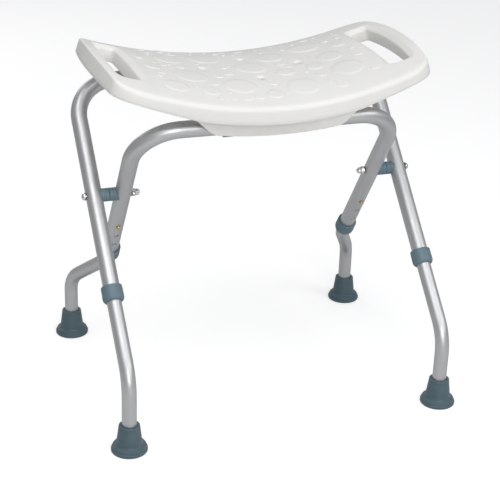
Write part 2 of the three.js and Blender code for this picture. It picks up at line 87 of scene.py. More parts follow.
def makeCamera():
    data = bpy.data.cameras.new("camera")
    data.lens = shot["lens"]
    data.sensor_width = shot["sensor"]
    turn = (Matrix.Rotation(math.radians(shot["azimuth"]), 4, "Z")
            @ Matrix.Rotation(math.radians(90 - shot["elevation"]), 4, "X")
            @ Matrix.Rotation(math.radians(shot["roll"]), 4, "Z"))
    made = addObject("camera", data)
    made.matrix_world = (Matrix.Translation(shot["target"]) @ turn
                         @ Matrix.Translation((0, 0, shot["distance"])))
    bpy.context.scene.camera = made


lightsAim = (0, 0, 0.32)
studio = {
    # name: (place, size, watts, colour)
    "key": ((-0.2, -2.5, 1.2), 1.4, 20, (1.0, 0.995, 0.985)),
    "side": ((1.7, -1.5, 1.9), 1.5, 15, (0.97, 0.985, 1.0)),
    "top": ((-0.5, -0.6, 2.3), 2.2, 22, (1.0, 1.0, 1.0)),
    "back": ((-0.6, 2.4, 1.2), 0.9, 5, (1.0, 1.0, 1.0)),
}
surround = {"colour": (0.96, 0.98, 1.0, 1), "strength": 0.37, "backdrop": 0.55}
floorLook = {"size": 14, "colour": (0.66, 0.66, 0.66, 1), "rough": 0.75, "glow": 0.54}


def makeLights():
    aim = Vector(lightsAim)
    for name, (place, size, watts, colour) in studio.items():
        data = bpy.data.lights.new(name, "AREA")
        data.shape = "DISK"
        data.size = size
        data.energy = watts
        data.color = colour
        made = addObject(name, data)
        made.location = place
        made.rotation_euler = (aim - Vector(place)).to_track_quat("-Z", "Y").to_euler()
    world = bpy.data.worlds.new("surround")
    world.use_nodes = True
    world.node_tree.nodes["Background"].inputs["Color"].default_value = surround["colour"]
    # the backdrop is brighter than the light that it gives
    seen = addNode(world.node_tree, "ShaderNodeLightPath").outputs["Is Camera Ray"]
    bright = calculate(world.node_tree, "MULTIPLY", seen, surround["backdrop"])
    bright = calculate(world.node_tree, "ADD", bright, surround["strength"])
    world.node_tree.links.new(bright, world.node_tree.nodes["Background"].inputs["Strength"])
    bpy.context.scene.world = world
    bpy.context.scene.view_settings.view_transform = "Standard"


def addNode(tree, kind, inputs=None, **settings):
    made = tree.nodes.new(kind)
    for key, value in settings.items():
        setattr(made, key, value)
    for key, value in (inputs or {}).items():
        if isinstance(value, bpy.types.NodeSocket):
            tree.links.new(value, made.inputs[key])
        else:
            made.inputs[key].default_value = value
    return made


def newGroup(name, kind, inputs, outputs):
    group = bpy.data.node_groups.new(name, kind)
    for label, (socketType, value) in inputs.items():
        socket = group.interface.new_socket(label, in_out="INPUT", socket_type=socketType)
        if value is not None:
            socket.default_value = value
    for label, socketType in outputs.items():
        group.interface.new_socket(label, in_out="OUTPUT", socket_type=socketType)
    return group, addNode(group, "NodeGroupInput").outputs, addNode(group, "NodeGroupOutput").inputs


def calculate(tree, operation, first, second=None, clamp=False):
    inputs = {0: first} if second is None else {0: first, 1: second}
    return addNode(tree, "ShaderNodeMath", inputs, operation=operation, use_clamp=clamp).outputs[0]


def spread(tree, value, low, high, toLow=0.0, toHigh=1.0):
    inputs = {"Value": value, "From Min": low, "From Max": high, "To Min": toLow, "To Max": toHigh}
    return addNode(tree, "ShaderNodeMapRange", inputs).outputs["Result"]


def makeGrain():
    # fine moulding or casting texture, and a slow change of tone
    group, given, out = newGroup(
        "mouldGrain", "ShaderNodeTree",
        {"Vector": ("NodeSocketVector", None), "Grain Scale": ("NodeSocketFloat", 900.0),
         "Patch Scale": ("NodeSocketFloat", 9.0)},
        {"Height": "NodeSocketFloat", "Tone": "NodeSocketFloat"})
    fine = addNode(group, "ShaderNodeTexNoise", {"Vector": given["Vector"], "Scale": given["Grain Scale"],
                                                 "Detail": 3.0, "Roughness": 0.6})
    cells = addNode(group, "ShaderNodeTexVoronoi", {"Vector": given["Vector"], "Scale": given["Grain Scale"]})
    patch = addNode(group, "ShaderNodeTexNoise", {"Vector": given["Vector"], "Scale": given["Patch Scale"],
                                                  "Detail": 4.0, "Roughness": 0.55})
    pits = spread(group, cells.outputs["Distance"], 0, 1, 0.6, 1)
    height = calculate(group, "MULTIPLY", fine.outputs["Fac"], pits)
    group.links.new(height, out["Height"])
    group.links.new(spread(group, patch.outputs["Fac"], 0.3, 0.7), out["Tone"])
    return group


def makeWearAndCreaseShade():
    # edges that hands and floors have rubbed, broken up by noise, and painted shade in the creases and
    # hollows
    group, given, out = newGroup(
        "edgeWear", "ShaderNodeTree",
        {"Vector": ("NodeSocketVector", None), "Start": ("NodeSocketFloat", 0.53),
         "End": ("NodeSocketFloat", 0.62), "Break Scale": ("NodeSocketFloat", 140.0)},
        {"Mask": "NodeSocketFloat", "Crease": "NodeSocketFloat"})
    point = addNode(group, "ShaderNodeNewGeometry").outputs["Pointiness"]
    noise = addNode(group, "ShaderNodeTexNoise", {"Vector": given["Vector"], "Scale": given["Break Scale"],
                                                  "Detail": 3.0}).outputs["Fac"]
    edge = addNode(group, "ShaderNodeMapRange", {"Value": point, "From Min": given["Start"],
                                                 "From Max": given["End"]}).outputs["Result"]
    group.links.new(calculate(group, "MULTIPLY", edge, spread(group, noise, 0.35, 0.65), True), out["Mask"])
    # painted shade: concave spots, found by pointiness, get the crease shade colour
    group.links.new(spread(group, point, 0.49, 0.44), out["Crease"])
    return group


def makeMarks():
    # faint smears and rubbed spots that only change the gloss
    group, given, out = newGroup(
        "handlingMarks", "ShaderNodeTree",
        {"Vector": ("NodeSocketVector", None), "Scale": ("NodeSocketFloat", 30.0)},
        {"Mask": "NodeSocketFloat"})
    bent = addNode(group, "ShaderNodeTexNoise", {"Vector": given["Vector"], "Scale": given["Scale"],
                                                 "Detail": 6.0, "Distortion": 1.4}).outputs["Fac"]
    group.links.new(spread(group, bent, 0.42, 0.68), out["Mask"])
    return group


def makeDrawn():
    # lines that the die leaves along a drawn tube, then matt etching over them
    group, given, out = newGroup(
        "drawnLines", "ShaderNodeTree",
        {"Vector": ("NodeSocketVector", None), "Line Scale": ("NodeSocketFloat", 1500.0),
         "Stretch": ("NodeSocketFloat", 0.006)},
        {"Height": "NodeSocketFloat", "Tone": "NodeSocketFloat"})
    squeeze = addNode(group, "ShaderNodeCombineXYZ", {"X": 1.0, "Y": 1.0, "Z": given["Stretch"]})
    along = addNode(group, "ShaderNodeVectorMath", {0: given["Vector"], 1: squeeze.outputs["Vector"]},
                    operation="MULTIPLY").outputs["Vector"]
    lines = addNode(group, "ShaderNodeTexNoise",
                    {"Vector": along, "Scale": given["Line Scale"], "Detail": 2.0})
    bands = addNode(group, "ShaderNodeTexNoise", {"Vector": along, "Scale": 130.0, "Detail": 3.0})
    etch = addNode(group, "ShaderNodeTexNoise", {"Vector": given["Vector"], "Scale": 2600.0, "Detail": 2.0})
    etched = calculate(group, "MULTIPLY", etch.outputs["Fac"], 0.35)
    height = calculate(group, "ADD", lines.outputs["Fac"], etched)
    group.links.new(height, out["Height"])
    group.links.new(spread(group, bands.outputs["Fac"], 0.32, 0.68), out["Tone"])
    return group


def makeMaterial(name, look):
    # every finish is the same chain: tone, wear, painted shade in creases, gloss marks and a bump, with its
    # own values
    material = bpy.data.materials.new(name)
    material.use_nodes = True
    tree = material.node_tree
    shader = tree.nodes["Principled BSDF"]
    if look.get("drawn"):
        place = addNode(tree, "ShaderNodeAttribute", attribute_name="tubeSpace").outputs["Vector"]
        grain = addNode(tree, "ShaderNodeGroup", node_tree=drawnLines)
        grain.inputs["Line Scale"].default_value = look["grain"]
    else:
        place = addNode(tree, "ShaderNodeTexCoord").outputs["Object"]
        grain = addNode(tree, "ShaderNodeGroup", node_tree=mouldGrain)
        grain.inputs["Grain Scale"].default_value = look["grain"]
        grain.inputs["Patch Scale"].default_value = look["patch"]
    tree.links.new(place, grain.inputs["Vector"])
    wear = addNode(tree, "ShaderNodeGroup", {"Vector": place}, node_tree=edgeWear)
    wear.inputs["Start"].default_value, wear.inputs["End"].default_value = wearRange
    marks = addNode(tree, "ShaderNodeGroup", {"Vector": place}, node_tree=handlingMarks)
    marks.inputs["Scale"].default_value = look["markScale"]

    def blend(mask, share, base, over):
        fac = calculate(tree, "MULTIPLY", mask, share)
        inputs = {0: fac, 6: base, 7: over}
        return addNode(tree, "ShaderNodeMix", inputs, data_type="RGBA").outputs[2]

    colour = blend(grain.outputs["Tone"], 1.0, (*look["colour"], 1), (*look["tone"], 1))
    # painted shade: hollows and creases darken towards each finish's crease shade colour
    colour = blend(wear.outputs["Crease"], look.get("creaseShadeShare", 0.5), colour, (*look["creaseShade"], 1))
    colour = blend(wear.outputs["Mask"], look.get("wearShare", 0.6), colour, (*look["wear"], 1))
    low, high = look["rough"]
    rough = spread(tree, marks.outputs["Mask"], 0, 1, low, high)
    bump = addNode(tree, "ShaderNodeBump", {"Height": grain.outputs["Height"], "Strength": look["bump"],
                                            "Distance": look["depth"]})
    tree.links.new(colour, shader.inputs["Base Color"])
    tree.links.new(rough, shader.inputs["Roughness"])
    tree.links.new(bump.outputs["Normal"], shader.inputs["Normal"])
    shader.inputs["Metallic"].default_value = look.get("metal", 0)
    shader.inputs["IOR"].default_value = 1.5
    for label, value in look.get("extra", {}).items():
        shader.inputs[label].default_value = value
    return material


mouldGrain, edgeWear, handlingMarks, drawnLines = makeGrain(), makeWearAndCreaseShade(), makeMarks(), makeDrawn()

wearRange = (0.53, 0.62)
# the crease colours below are painted shade for each finish's hollows and creases
finishes = {
    "seatPlastic": {"colour": (0.78, 0.77, 0.745), "tone": (0.81, 0.80, 0.78), "creaseShade": (0.60, 0.54, 0.45),
                    "wear": (0.84, 0.83, 0.81), "rough": (0.46, 0.56), "grain": 1400.0, "patch": 7.0,
                    "bump": 0.25, "depth": 0.00006, "wearShare": 0.30, "creaseShadeShare": 0.60,
                    "markScale": 16.0,
                    "extra": {"Subsurface Weight": 0.08, "Subsurface Scale": 0.004,
                              "Subsurface Radius": (1.0, 0.9, 0.75)}},
    "anodised": {"colour": (0.62, 0.625, 0.635), "tone": (0.65, 0.655, 0.665), "creaseShade": (0.30, 0.31, 0.32),
                 "wear": (0.76, 0.76, 0.76), "rough": (0.42, 0.49), "grain": 1500.0, "drawn": True,
                 "metal": 1.0, "bump": 0.08, "depth": 0.00002, "markScale": 22.0, "wearShare": 0.5,
                 "extra": {"Anisotropic": 0.25}},
    "slatePlastic": {"colour": (0.115, 0.175, 0.215), "tone": (0.135, 0.20, 0.24),
                     "creaseShade": (0.06, 0.09, 0.115), "wear": (0.26, 0.33, 0.37), "rough": (0.38, 0.50),
                     "grain": 1200.0, "patch": 40.0,
                     "bump": 0.35, "depth": 0.00006, "wearShare": 0.45, "markScale": 60.0},
    "footRubber": {"colour": (0.062, 0.105, 0.128), "tone": (0.078, 0.125, 0.150),
                   "creaseShade": (0.03, 0.05, 0.06), "wear": (0.16, 0.21, 0.235), "rough": (0.48, 0.66),
                   "grain": 800.0, "patch": 45.0,
                   "bump": 0.5, "depth": 0.00010, "wearShare": 0.45, "markScale": 50.0,
                   "extra": {"Sheen Weight": 0.12, "Sheen Roughness": 0.5}},
    "chrome": {"colour": (0.80, 0.80, 0.79), "tone": (0.84, 0.84, 0.83), "creaseShade": (0.30, 0.29, 0.27),
               "wear": (0.90, 0.89, 0.87), "rough": (0.07, 0.16), "grain": 900.0, "patch": 90.0, "metal": 1.0,
               "bump": 0.05, "depth": 0.00002, "markScale": 160.0},
    "steel": {"colour": (0.42, 0.43, 0.44), "tone": (0.50, 0.50, 0.51), "creaseShade": (0.16, 0.16, 0.16),
              "wear": (0.66, 0.66, 0.66), "rough": (0.24, 0.38), "grain": 1600.0, "patch": 120.0,
              "metal": 1.0, "bump": 0.15, "depth": 0.00003, "markScale": 180.0},
    "brass": {"colour": (0.68, 0.43, 0.16), "tone": (0.74, 0.49, 0.21), "creaseShade": (0.30, 0.17, 0.05),
              "wear": (0.85, 0.64, 0.36), "rough": (0.18, 0.30), "grain": 1500.0, "patch": 150.0,
              "metal": 1.0, "bump": 0.12, "depth": 0.00003, "markScale": 200.0},
}
materials = {name: makeMaterial(name, look) for name, look in finishes.items()}
print("finishes ready:", len(materials))


def tidyMesh(mesh, smoothAngle):
    work = bmesh.new()
    work.from_mesh(mesh)
    bmesh.ops.remove_doubles(work, verts=work.verts, dist=2e-6)
    bmesh.ops.dissolve_degenerate(work, dist=1e-7, edges=work.edges)
    bmesh.ops.recalc_face_normals(work, faces=work.faces)
    work.to_mesh(mesh)
    work.free()
    mesh.shade_smooth()
    mesh.set_sharp_from_angle(angle=math.radians(smoothAngle))


def newPiece(name, verts, faces, material, smoothAngle=38):
    mesh = bpy.data.meshes.new(name)
    mesh.from_pydata([tuple(v) for v in verts], [], faces)
    mesh.materials.append(materials[material])
    tidyMesh(mesh, smoothAngle)
    return addObject(name, mesh)


def settled(piece, smoothAngle=38):
    # a plain mesh of what the modifiers make, with none of them left
    bpy.context.view_layer.update()
    graph = bpy.context.evaluated_depsgraph_get()
    mesh = bpy.data.meshes.new_from_object(piece.evaluated_get(graph), depsgraph=graph)
    old = piece.data
    piece.modifiers.clear()
    piece.data = mesh
    bpy.data.meshes.remove(old)
    mesh.name = piece.name
    tidyMesh(mesh, smoothAngle)
    return piece


def bevelled(piece, width, segments=2, angle=40):
    edges = piece.modifiers.new("edges", "BEVEL")
    edges.width = width
    edges.segments = segments
    edges.limit_method = "ANGLE"
    edges.angle_limit = math.radians(angle)
    edges.harden_normals = False
    return piece


def drilled(piece, cutter):
    holes = piece.modifiers.new("holes", "BOOLEAN")
    holes.operation = "DIFFERENCE"
    holes.solver = "EXACT"
    holes.object = cutter
    settled(piece)
    bpy.data.objects.remove(cutter)
    return piece


def hand(piece, body, slot, *nodes):
    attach(piece, body)
    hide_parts(*nodes)
    return piece


def rounded(points, steps=4):
    # a line of (a, b) or (a, b, radius) points, with each corner that has a radius eased into a curve
    done = []
    for i, point in enumerate(points):
        here = Vector(point[:2])
        radius = point[2] if len(point) > 2 else 0
        if radius == 0 or i in (0, len(points) - 1):
            done.append(here)
            continue
        before, after = Vector(points[i - 1][:2]) - here, Vector(points[i + 1][:2]) - here
        start = here + before.normalized() * min(radius, before.length * 0.48)
        finish = here + after.normalized() * min(radius, after.length * 0.48)
        for k in range(steps + 1):
            t = k / steps
            done.append(start * (1 - t) ** 2 + here * 2 * t * (1 - t) + finish * t ** 2)
    return done


def placeAlong(at, direction, hint=(1, 0, 0)):
    # a matrix that takes +Z to a direction and the origin to a point
    z = Vector(direction).normalized()
    x = Vector(hint)
    x = (x - z * x.dot(z)).normalized()
    turn = Matrix((x, z.cross(x), z)).transposed().to_4x4()
    return Matrix.Translation(at) @ turn


def circlePoints(radius, z, around):
    angles = [2 * math.pi * k / around for k in range(around)]
    return [Vector((radius * math.cos(a), radius * math.sin(a), z)) for a in angles]


def ringFaces(a, b, count):
    # four-sided faces between two closed rings of points
    return [(a + k, a + (k + 1) % count, b + (k + 1) % count, b + k) for k in range(count)]


def turned(name, profile, material, place, around=48, closed=False, smoothAngle=38):
    # profile is (radius, height) in metres, from axis to axis, or a loop if closed
    verts, faces = [], []
    count = len(profile)
    for k in range(around):
        angle = 2 * math.pi * k / around
        verts += [place @ Vector((p[0] * math.cos(angle), p[0] * math.sin(angle), p[1])) for p in profile]
    for k in range(around):
        a, b = k * count, ((k + 1) % around) * count
        for i in range(count if closed else count - 1):
            j = (i + 1) % count
            faces.append((a + i, b + i, b + j, a + j))
    return newPiece(name, verts, faces, material, smoothAngle)


def pegs(name, spots, radius, around=40):
    # plain rods used only to cut holes: spots are (from, to) pairs
    verts, faces = [], []
    for start, finish in spots:
        place = placeAlong(start, finish - start, (0.3, 1, 0.2))
        length = (finish - start).length
        base = len(verts)
        for z in (0, length):
            verts += [place @ point for point in circlePoints(radius, z, around)]
        faces += ringFaces(base, base + around, around)
        faces.append(tuple(base + k for k in reversed(range(around))))
        faces.append(tuple(base + around + k for k in range(around)))
    return newPiece(name, verts, faces, "steel")


def slabAlongX(name, outline, x, width, material, edge=0.0006):
    # a flat outline in (y, z), thickened along X about a middle, with eased edges
    verts = [Vector((x + s * width / 2, p[0], p[1])) for s in (-1, 1) for p in outline]
    count = len(outline)
    faces = [tuple(range(count)), tuple(reversed(range(count, 2 * count)))]
    faces += ringFaces(0, count, count)
    return bevelled(newPiece(name, verts, faces, material), edge)


def arc(centre, radius, start, finish, steps):
    made = []
    for k in range(steps + 1):
        angle = math.radians(start + (finish - start) * k / steps)
        made.append(Vector((centre[0] + radius * math.cos(angle), centre[1] + radius * math.sin(angle))))
    return made


def treeInputs(modifier, tree, values):
    modifier.node_group = tree
    for item in tree.interface.items_tree:
        if item.item_type == "SOCKET" and item.in_out == "INPUT" and item.name in values:
            modifier[item.identifier] = values[item.name]


def grown(name, source, tree, values):
    # runs a geometry tree on a source mesh, as a modifier; the callers keep the plain result
    made = addObject(name, source)
    treeInputs(made.modifiers.new("grow", "NODES"), tree, values)
    return made


def linesMesh(name, runs):
    mesh = bpy.data.meshes.new(name)
    verts, edges = [], []
    for run in runs:
        edges += [(len(verts) + i, len(verts) + i + 1) for i in range(len(run) - 1)]
        verts += [tuple(p) for p in run]
    mesh.from_pydata(verts, edges, [])
    return mesh


def endTree(group, out, mesh, material):
    # every tree ends the same way
    real = addNode(group, "GeometryNodeRealizeInstances", {"Geometry": mesh}).outputs["Geometry"]
    smooth = addNode(group, "GeometryNodeSetShadeSmooth", {"Geometry": real}).outputs["Geometry"]
    dressed = addNode(group, "GeometryNodeSetMaterial", {"Geometry": smooth, "Material": material})
    group.links.new(dressed.outputs["Geometry"], out["Geometry"])


def makeTubeTree():
    group, given, out = newGroup(
        "sweptTube", "GeometryNodeTree",
        {"Geometry": ("NodeSocketGeometry", None), "Radius": ("NodeSocketFloat", 0.0127),
         "Around": ("NodeSocketInt", 48), "Material": ("NodeSocketMaterial", None)},
        {"Geometry": "NodeSocketGeometry"})
    path = addNode(group, "GeometryNodeMeshToCurve", {"Mesh": given["Geometry"]}).outputs["Curve"]
    ring = addNode(group, "GeometryNodeCurvePrimitiveCircle",
                   {"Resolution": given["Around"], "Radius": given["Radius"]}, mode="RADIUS").outputs["Curve"]
    skin = addNode(group, "GeometryNodeCurveToMesh", {"Curve": path, "Profile Curve": ring}).outputs["Mesh"]
    endTree(group, out, skin, given["Material"])
    return group


frameTube = {"radius": 0.0127, "wall": 0.0012, "bend": 0.067, "end": 0.168}
legTube = {"radius": 0.0111, "wall": 0.0014, "top": 0.052}
holePlan = {"along": 0.075, "pitch": 0.025, "count": 3, "radius": 0.0037, "pivot": 0.0043}
footPlan = {"y": 0.1955, "seatHeight": 0.0112}
frontKnee = {"bend": 0.068}
rearJog = {"from": 0.1855, "x": 0.2536, "z": 0.104, "bend": 0.044}


def roundedRoute(corners, bend, step=0.005):
    # straight runs joined by true arcs, with points close enough for a smooth tube
    route = [corners[0].copy()]
    for before, corner, after in zip(corners, corners[1:], corners[2:]):
        into, away = (corner - before).normalized(), (after - corner).normalized()
        turn = into.angle(away)
        reach = bend * math.tan(turn / 2)
        start = corner - into * reach
        centre = corner + (away - into).normalized() * (bend / math.cos(turn / 2))
        axis = into.cross(away).normalized()
        runTo(route, start, step)
        count = max(4, math.ceil(math.degrees(turn) / 4))
        for k in range(1, count + 1):
            route.append(centre + Matrix.Rotation(turn * k / count, 3, axis) @ (start - centre))
    runTo(route, corners[-1], step)
    return route


def runTo(route, finish, step):
    start = route[-1].copy()
    count = max(1, round((finish - start).length / step))
    route += [start.lerp(finish, k / count) for k in range(1, count + 1)]


def layTubeSpace(piece, route, facing):
    # each point learns where it is on the straightened tube: round it, and along it
    tree = kdtree.KDTree(len(route))
    lengths = [0.0]
    for i, point in enumerate(route):
        tree.insert(point, i)
        if i:
            lengths.append(lengths[-1] + (point - route[i - 1]).length)
    tree.balance()
    layer = piece.data.attributes.new("tubeSpace", "FLOAT_VECTOR", "POINT")
    for vertex, item in zip(piece.data.vertices, layer.data):
        i = tree.find(vertex.co)[1]
        ahead = (route[min(i + 1, len(route) - 1)] - route[max(i - 1, 0)]).normalized()
        out = vertex.co - route[i]
        side = (facing - ahead * facing.dot(ahead)).normalized()
        item.vector = (out.dot(side), out.dot(ahead.cross(side)), lengths[i] + out.dot(ahead))


def buttonHoles(end, side, count):
    under = frames[end]["under"]
    places = [onLeg(end, side, holePlan["along"] + i * holePlan["pitch"]) for i in range(count)]
    return [(place, place + under * 0.02) for place in places]


def tubePiece(name, route, size, facing, cutter=None):
    piece = grown(name, linesMesh(name, [route]), tubeTree,
                  {"Radius": size["radius"], "Around": 48, "Material": materials["anodised"]})
    wall = piece.modifiers.new("wall", "SOLIDIFY")
    wall.thickness = size["wall"]
    wall.offset = -1
    settled(piece)
    if cutter:
        drilled(piece, cutter)
    layTubeSpace(piece, route, facing)
    return piece


def makeFrame(end):
    plan = frames[end]
    corners = [onLeg(end, -1, frameTube["end"]), onLeg(end, -1, -plan["rise"]),
               onLeg(end, 1, -plan["rise"]), onLeg(end, 1, frameTube["end"])]
    route = roundedRoute(corners, frameTube["bend"])
    spots = [spot for side in (-1, 1) for spot in buttonHoles(end, side, holePlan["count"])]
    name = plan["body"] + "_tube"
    drill = pegs("drill", spots, holePlan["radius"])
    piece = tubePiece(name + "_drawn", route, frameTube, plan["under"], drill)
    across = Vector((0.02, 0, 0))
    spots = [(onLeg(end, side, 0) - across, onLeg(end, side, 0) + across) for side in (-1, 1)]
    piece.data.attributes.remove(piece.data.attributes["tubeSpace"])
    drilled(piece, pegs("drill", spots, holePlan["pivot"]))
    layTubeSpace(piece, route, plan["under"])
    return hand(piece, plan["body"], "aluminium", name)


def legCorners(end, side):
    if end == "front":
        down = frames[end]["down"]
        knee = (pivotAt.y + footPlan["y"]) / -down.y
        foot = Vector((side * frames[end]["half"], -footPlan["y"], footPlan["seatHeight"]))
        return [onLeg(end, side, legTube["top"]), onLeg(end, side, knee), foot], frontKnee["bend"]
    knee = Vector((side * rearJog["x"], footPlan["y"], rearJog["z"]))
    foot = Vector((knee.x, knee.y, footPlan["seatHeight"]))
    return [onLeg(end, side, legTube["top"]), onLeg(end, side, rearJog["from"]), knee, foot], rearJog["bend"]


def makeLeg(end, name, side):
    corners, bend = legCorners(end, side)
    label = f"{end}_{name}"
    drill = pegs("drill", buttonHoles(end, side, 1), holePlan["radius"])
    piece = tubePiece(label + "_leg", roundedRoute(corners, bend), legTube, frames[end]["under"], drill)
    return hand(piece, label + "_leg", "aluminium", label + "_leg_tube")


collar = {"from": 0.1485, "to": 0.1725, "radius": 0.0163}


def makeCollar(end, name, side):
    r, length = collar["radius"], collar["to"] - collar["from"]
    topBore, lowBore = frameTube["radius"] + 0.0003, legTube["radius"] + 0.0003
    step = frameTube["end"] - collar["from"] + 0.0003
    profile = rounded([
        (topBore, 0.0004), (topBore + 0.0003, 0), (r - 0.0003, 0, 0.0009), (r, length - 0.0058, 0.0012),
        (r - 0.0004, length - 0.0032, 0.001), (r - 0.0026, length, 0.0012), (lowBore + 0.0003, length),
        (lowBore, length - 0.0004), (lowBore, step), (topBore, step), (topBore, 0.0004)])
    place = placeAlong(onLeg(end, side, collar["from"]), frames[end]["down"])
    label = f"{end}_{name}_collar"
    piece = turned(label + "_sleeve", profile[:-1], "slatePlastic", place, 64, closed=True)
    return hand(piece, frames[end]["body"], "slate", label)


foot = {
    "flange": 0.0274, "ledge": 0.0048, "flangeTop": 0.0096, "neck": 0.0194,
    "top": 0.0148, "height": 0.043, "floor": 0.009,
    "grooves": (0.0085, 0.0135, 0.0185), "grooveWidth": 0.0016, "grooveDepth": 0.0013,
}


def footProfile():
    line = [(0, 0)]
    for r in foot["grooves"]:
        w, d = foot["grooveWidth"] / 2, foot["grooveDepth"]
        line += [(r - w, 0, 0.0002), (r - w * 0.7, d, 0.0002), (r + w * 0.7, d, 0.0002), (r + w, 0, 0.0002)]
    bore = legTube["radius"] + 0.0002
    line += [
        (0.0264, 0, 0.0006), (foot["flange"], 0.0012, 0.0006), (foot["flange"], foot["ledge"], 0.0007),
        (0.0256, foot["ledge"] + 0.0006, 0.0003), (0.0252, foot["flangeTop"], 0.0011),
        (0.0206, 0.0108, 0.0014), (foot["neck"], 0.0136, 0.0010), (0.0158, 0.0424, 0.0007),
        (foot["top"], foot["height"], 0.0006), (bore + 0.0006, foot["height"] - 0.0001, 0.0004),
        (bore, foot["height"] - 0.0012), (bore, foot["floor"]), (0, foot["floor"])]
    return rounded(line)


def makeFoot(end, name, side):
    label = f"{end}_{name}"
    low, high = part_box(label + "_foot_tip")
    middle = (low + high) / 2
    place = Matrix.Translation((middle.x, middle.y, low.z))
    tip = turned(label + "_rubber_tip", footProfile(), "footRubber", place, 72)
    hand(tip, label + "_leg", "rubber", label + "_foot_tip")
    disc = rounded([(0, 0.0093), (0.0106, 0.0093, 0.0002), (0.0109, 0.0096, 0.0002), (0.0109, 0.0105, 0.0002),
                    (0.0106, 0.0108, 0.0002), (0, 0.0108)])
    washer = turned(label + "_tip_disc", disc, "steel", place)
    hand(washer, label + "_leg", "steel", label + "_foot_washer")


snapButton = {"radius": 0.0032, "flange": 0.0042, "from": 0.0072, "top": 0.0164}


def makeButton(end, name, side):
    r, base, top = snapButton["radius"], snapButton["from"], snapButton["top"]
    profile = rounded([
        (0, base), (snapButton["flange"], base, 0.0002), (snapButton["flange"], base + 0.0009, 0.0003),
        (r, base + 0.0009, 0.0002), (r, top - 0.0026, 0.0022), (r * 0.62, top - 0.0003, 0.0016), (0, top)], 6)
    label = f"{end}_{name}"
    place = placeAlong(onLeg(end, side, holePlan["along"]), frames[end]["under"])
    piece = turned(label + "_button_pin", profile, "brass", place, 40)
    hand(piece, label + "_button", "brass", label + "_snap_button")


leafSpring = {"width": 0.005, "thick": 0.0006, "high": 0.0066, "low": -0.0083, "tail": 0.034}


def makeSpring(end, name, side):
    # a strip bent into a V, drawn along the leg and towards its underside
    s = leafSpring
    path = rounded([(-0.005, s["high"]), (0.008, s["high"], 0.006), (s["tail"], 0.0011, 0.003),
                    (s["tail"] + 0.0013, -0.0006, 0.0012), (s["tail"], -0.0023, 0.003),
                    (-0.005, s["low"])], 6)
    ways = [(path[min(i + 1, len(path) - 1)] - path[max(i - 1, 0)]).normalized() for i in range(len(path))]
    half = s["thick"] / 2
    outline = [p + Vector((-w.y, w.x)) * half for p, w in zip(path, ways)]
    outline += [p - Vector((-w.y, w.x)) * half for p, w in reversed(list(zip(path, ways)))]
    along, under = frames[end]["down"], frames[end]["under"]
    across = along.cross(under)
    start = onLeg(end, side, holePlan["along"])
    verts = [start + along * p.x + under * p.y + across * w
             for w in (-s["width"] / 2, s["width"] / 2) for p in outline]
    count = len(outline)
    faces = ringFaces(0, count, count)
    for base in (0, count):
        faces += [(base + i, base + i + 1, base + count - 2 - i, base + count - 1 - i)
                  for i in range(len(path) - 1)]
    label = f"{end}_{name}"
    piece = newPiece(label + "_leaf_spring", verts, faces, "steel")
    hand(piece, label + "_leg", "steel", label + "_button_spring")


pivot = {"spacer": 0.0104, "bore": 0.0043, "split": 0.0003, "bolt": 0.0039, "washer": 0.0062, "nut": 0.0063}
outerFace = frames["front"]["half"] + frameTube["radius"]
innerFace = frames["rear"]["half"] - frameTube["radius"]


def atPivot(side, x):
    return Vector((side * x, pivotAt.y, pivotAt.z))


def makeSpacer(end, name, side):
    # one half of a spacer: grooved where the halves meet, hollowed where it hugs its tube
    half = frames[end]["half"]
    middle = (frames["front"]["half"] + frames["rear"]["half"]) / 2
    sign = math.copysign(1, half - middle)
    near = atPivot(side, middle + sign * pivot["split"] / 2)
    reach = abs(half - middle) - pivot["split"] / 2 - 0.007
    r, bore = pivot["spacer"], pivot["bore"]
    profile = rounded([
        (bore, 0), (r - 0.0007, 0, 0.0004), (r, 0.0007, 0.0004), (r, 0.0052, 0.0002),
        (r - 0.0005, 0.0056, 0.0002), (r - 0.0005, 0.0064, 0.0002), (r, 0.0068, 0.0002),
        (r, reach), (bore, reach)])
    profile = profile[:-3] + [Vector((r, reach * t)) for t in (0.55, 0.7, 0.85, 1)] + profile[-1:]
    place = placeAlong(near, Vector((sign * side, 0, 0)), (0, 0, 1))
    piece = turned("spacer", profile, "slatePlastic", place, 64, True)
    along = [(onLeg(end, side, -0.04), onLeg(end, side, 0.04))]
    tube = pegs("drill", along, frameTube["radius"] + 0.0003, 96)
    drilled(piece, tube)
    which = "outer" if end == "front" else "inner"
    piece.name = f"pivot_spacer_{which}_{name}_half"
    hand(piece, frames[end]["body"], "slate", f"pivot_spacer_{which}_{name}")


def makeBolt(name, side):
    inward = Vector((-side, 0, 0))
    length = outerFace - innerFace + 0.0095
    head, r = 0.0018, pivot["bolt"]
    shank = [(r, -head)]
    threadFrom, pitch = length - 0.014, 0.00125
    for k in range(10):
        z = threadFrom + k * pitch
        shank += [(r, z), (r - 0.0006, z + pitch / 2)]
    profile = rounded([(0, -head - 0.0046), (0.0030, -head - 0.0043, 0.002), (0.0050, -head - 0.0030, 0.0016),
                       (0.0058, -head - 0.0010, 0.0008), (0.0058, -head, 0.0001)], 6)
    profile += [Vector(p) for p in shank] + [Vector((r - 0.0006, length - 0.0003)), Vector((0, length))]
    place = placeAlong(atPivot(side, outerFace), inward, (0, 0, 1))
    piece = turned(f"pivot_bolt_{name}_domed", profile, "chrome", place)
    socket = newPiece("drill", *hexPeg(place, 0.0019, -head - 0.006, -head - 0.0020), "steel")
    drilled(piece, socket)
    hand(piece, "outer_frame", "chrome", f"pivot_bolt_{name}")


def hexPeg(place, radius, low, high):
    angles = [math.radians(60 * k) for k in range(6)]
    verts = [place @ Vector((radius * math.cos(a), radius * math.sin(a), z))
             for z in (low, high) for a in angles]
    return verts, ringFaces(0, 6, 6) + [(5, 4, 3, 2, 1, 0), (6, 7, 8, 9, 10, 11)]


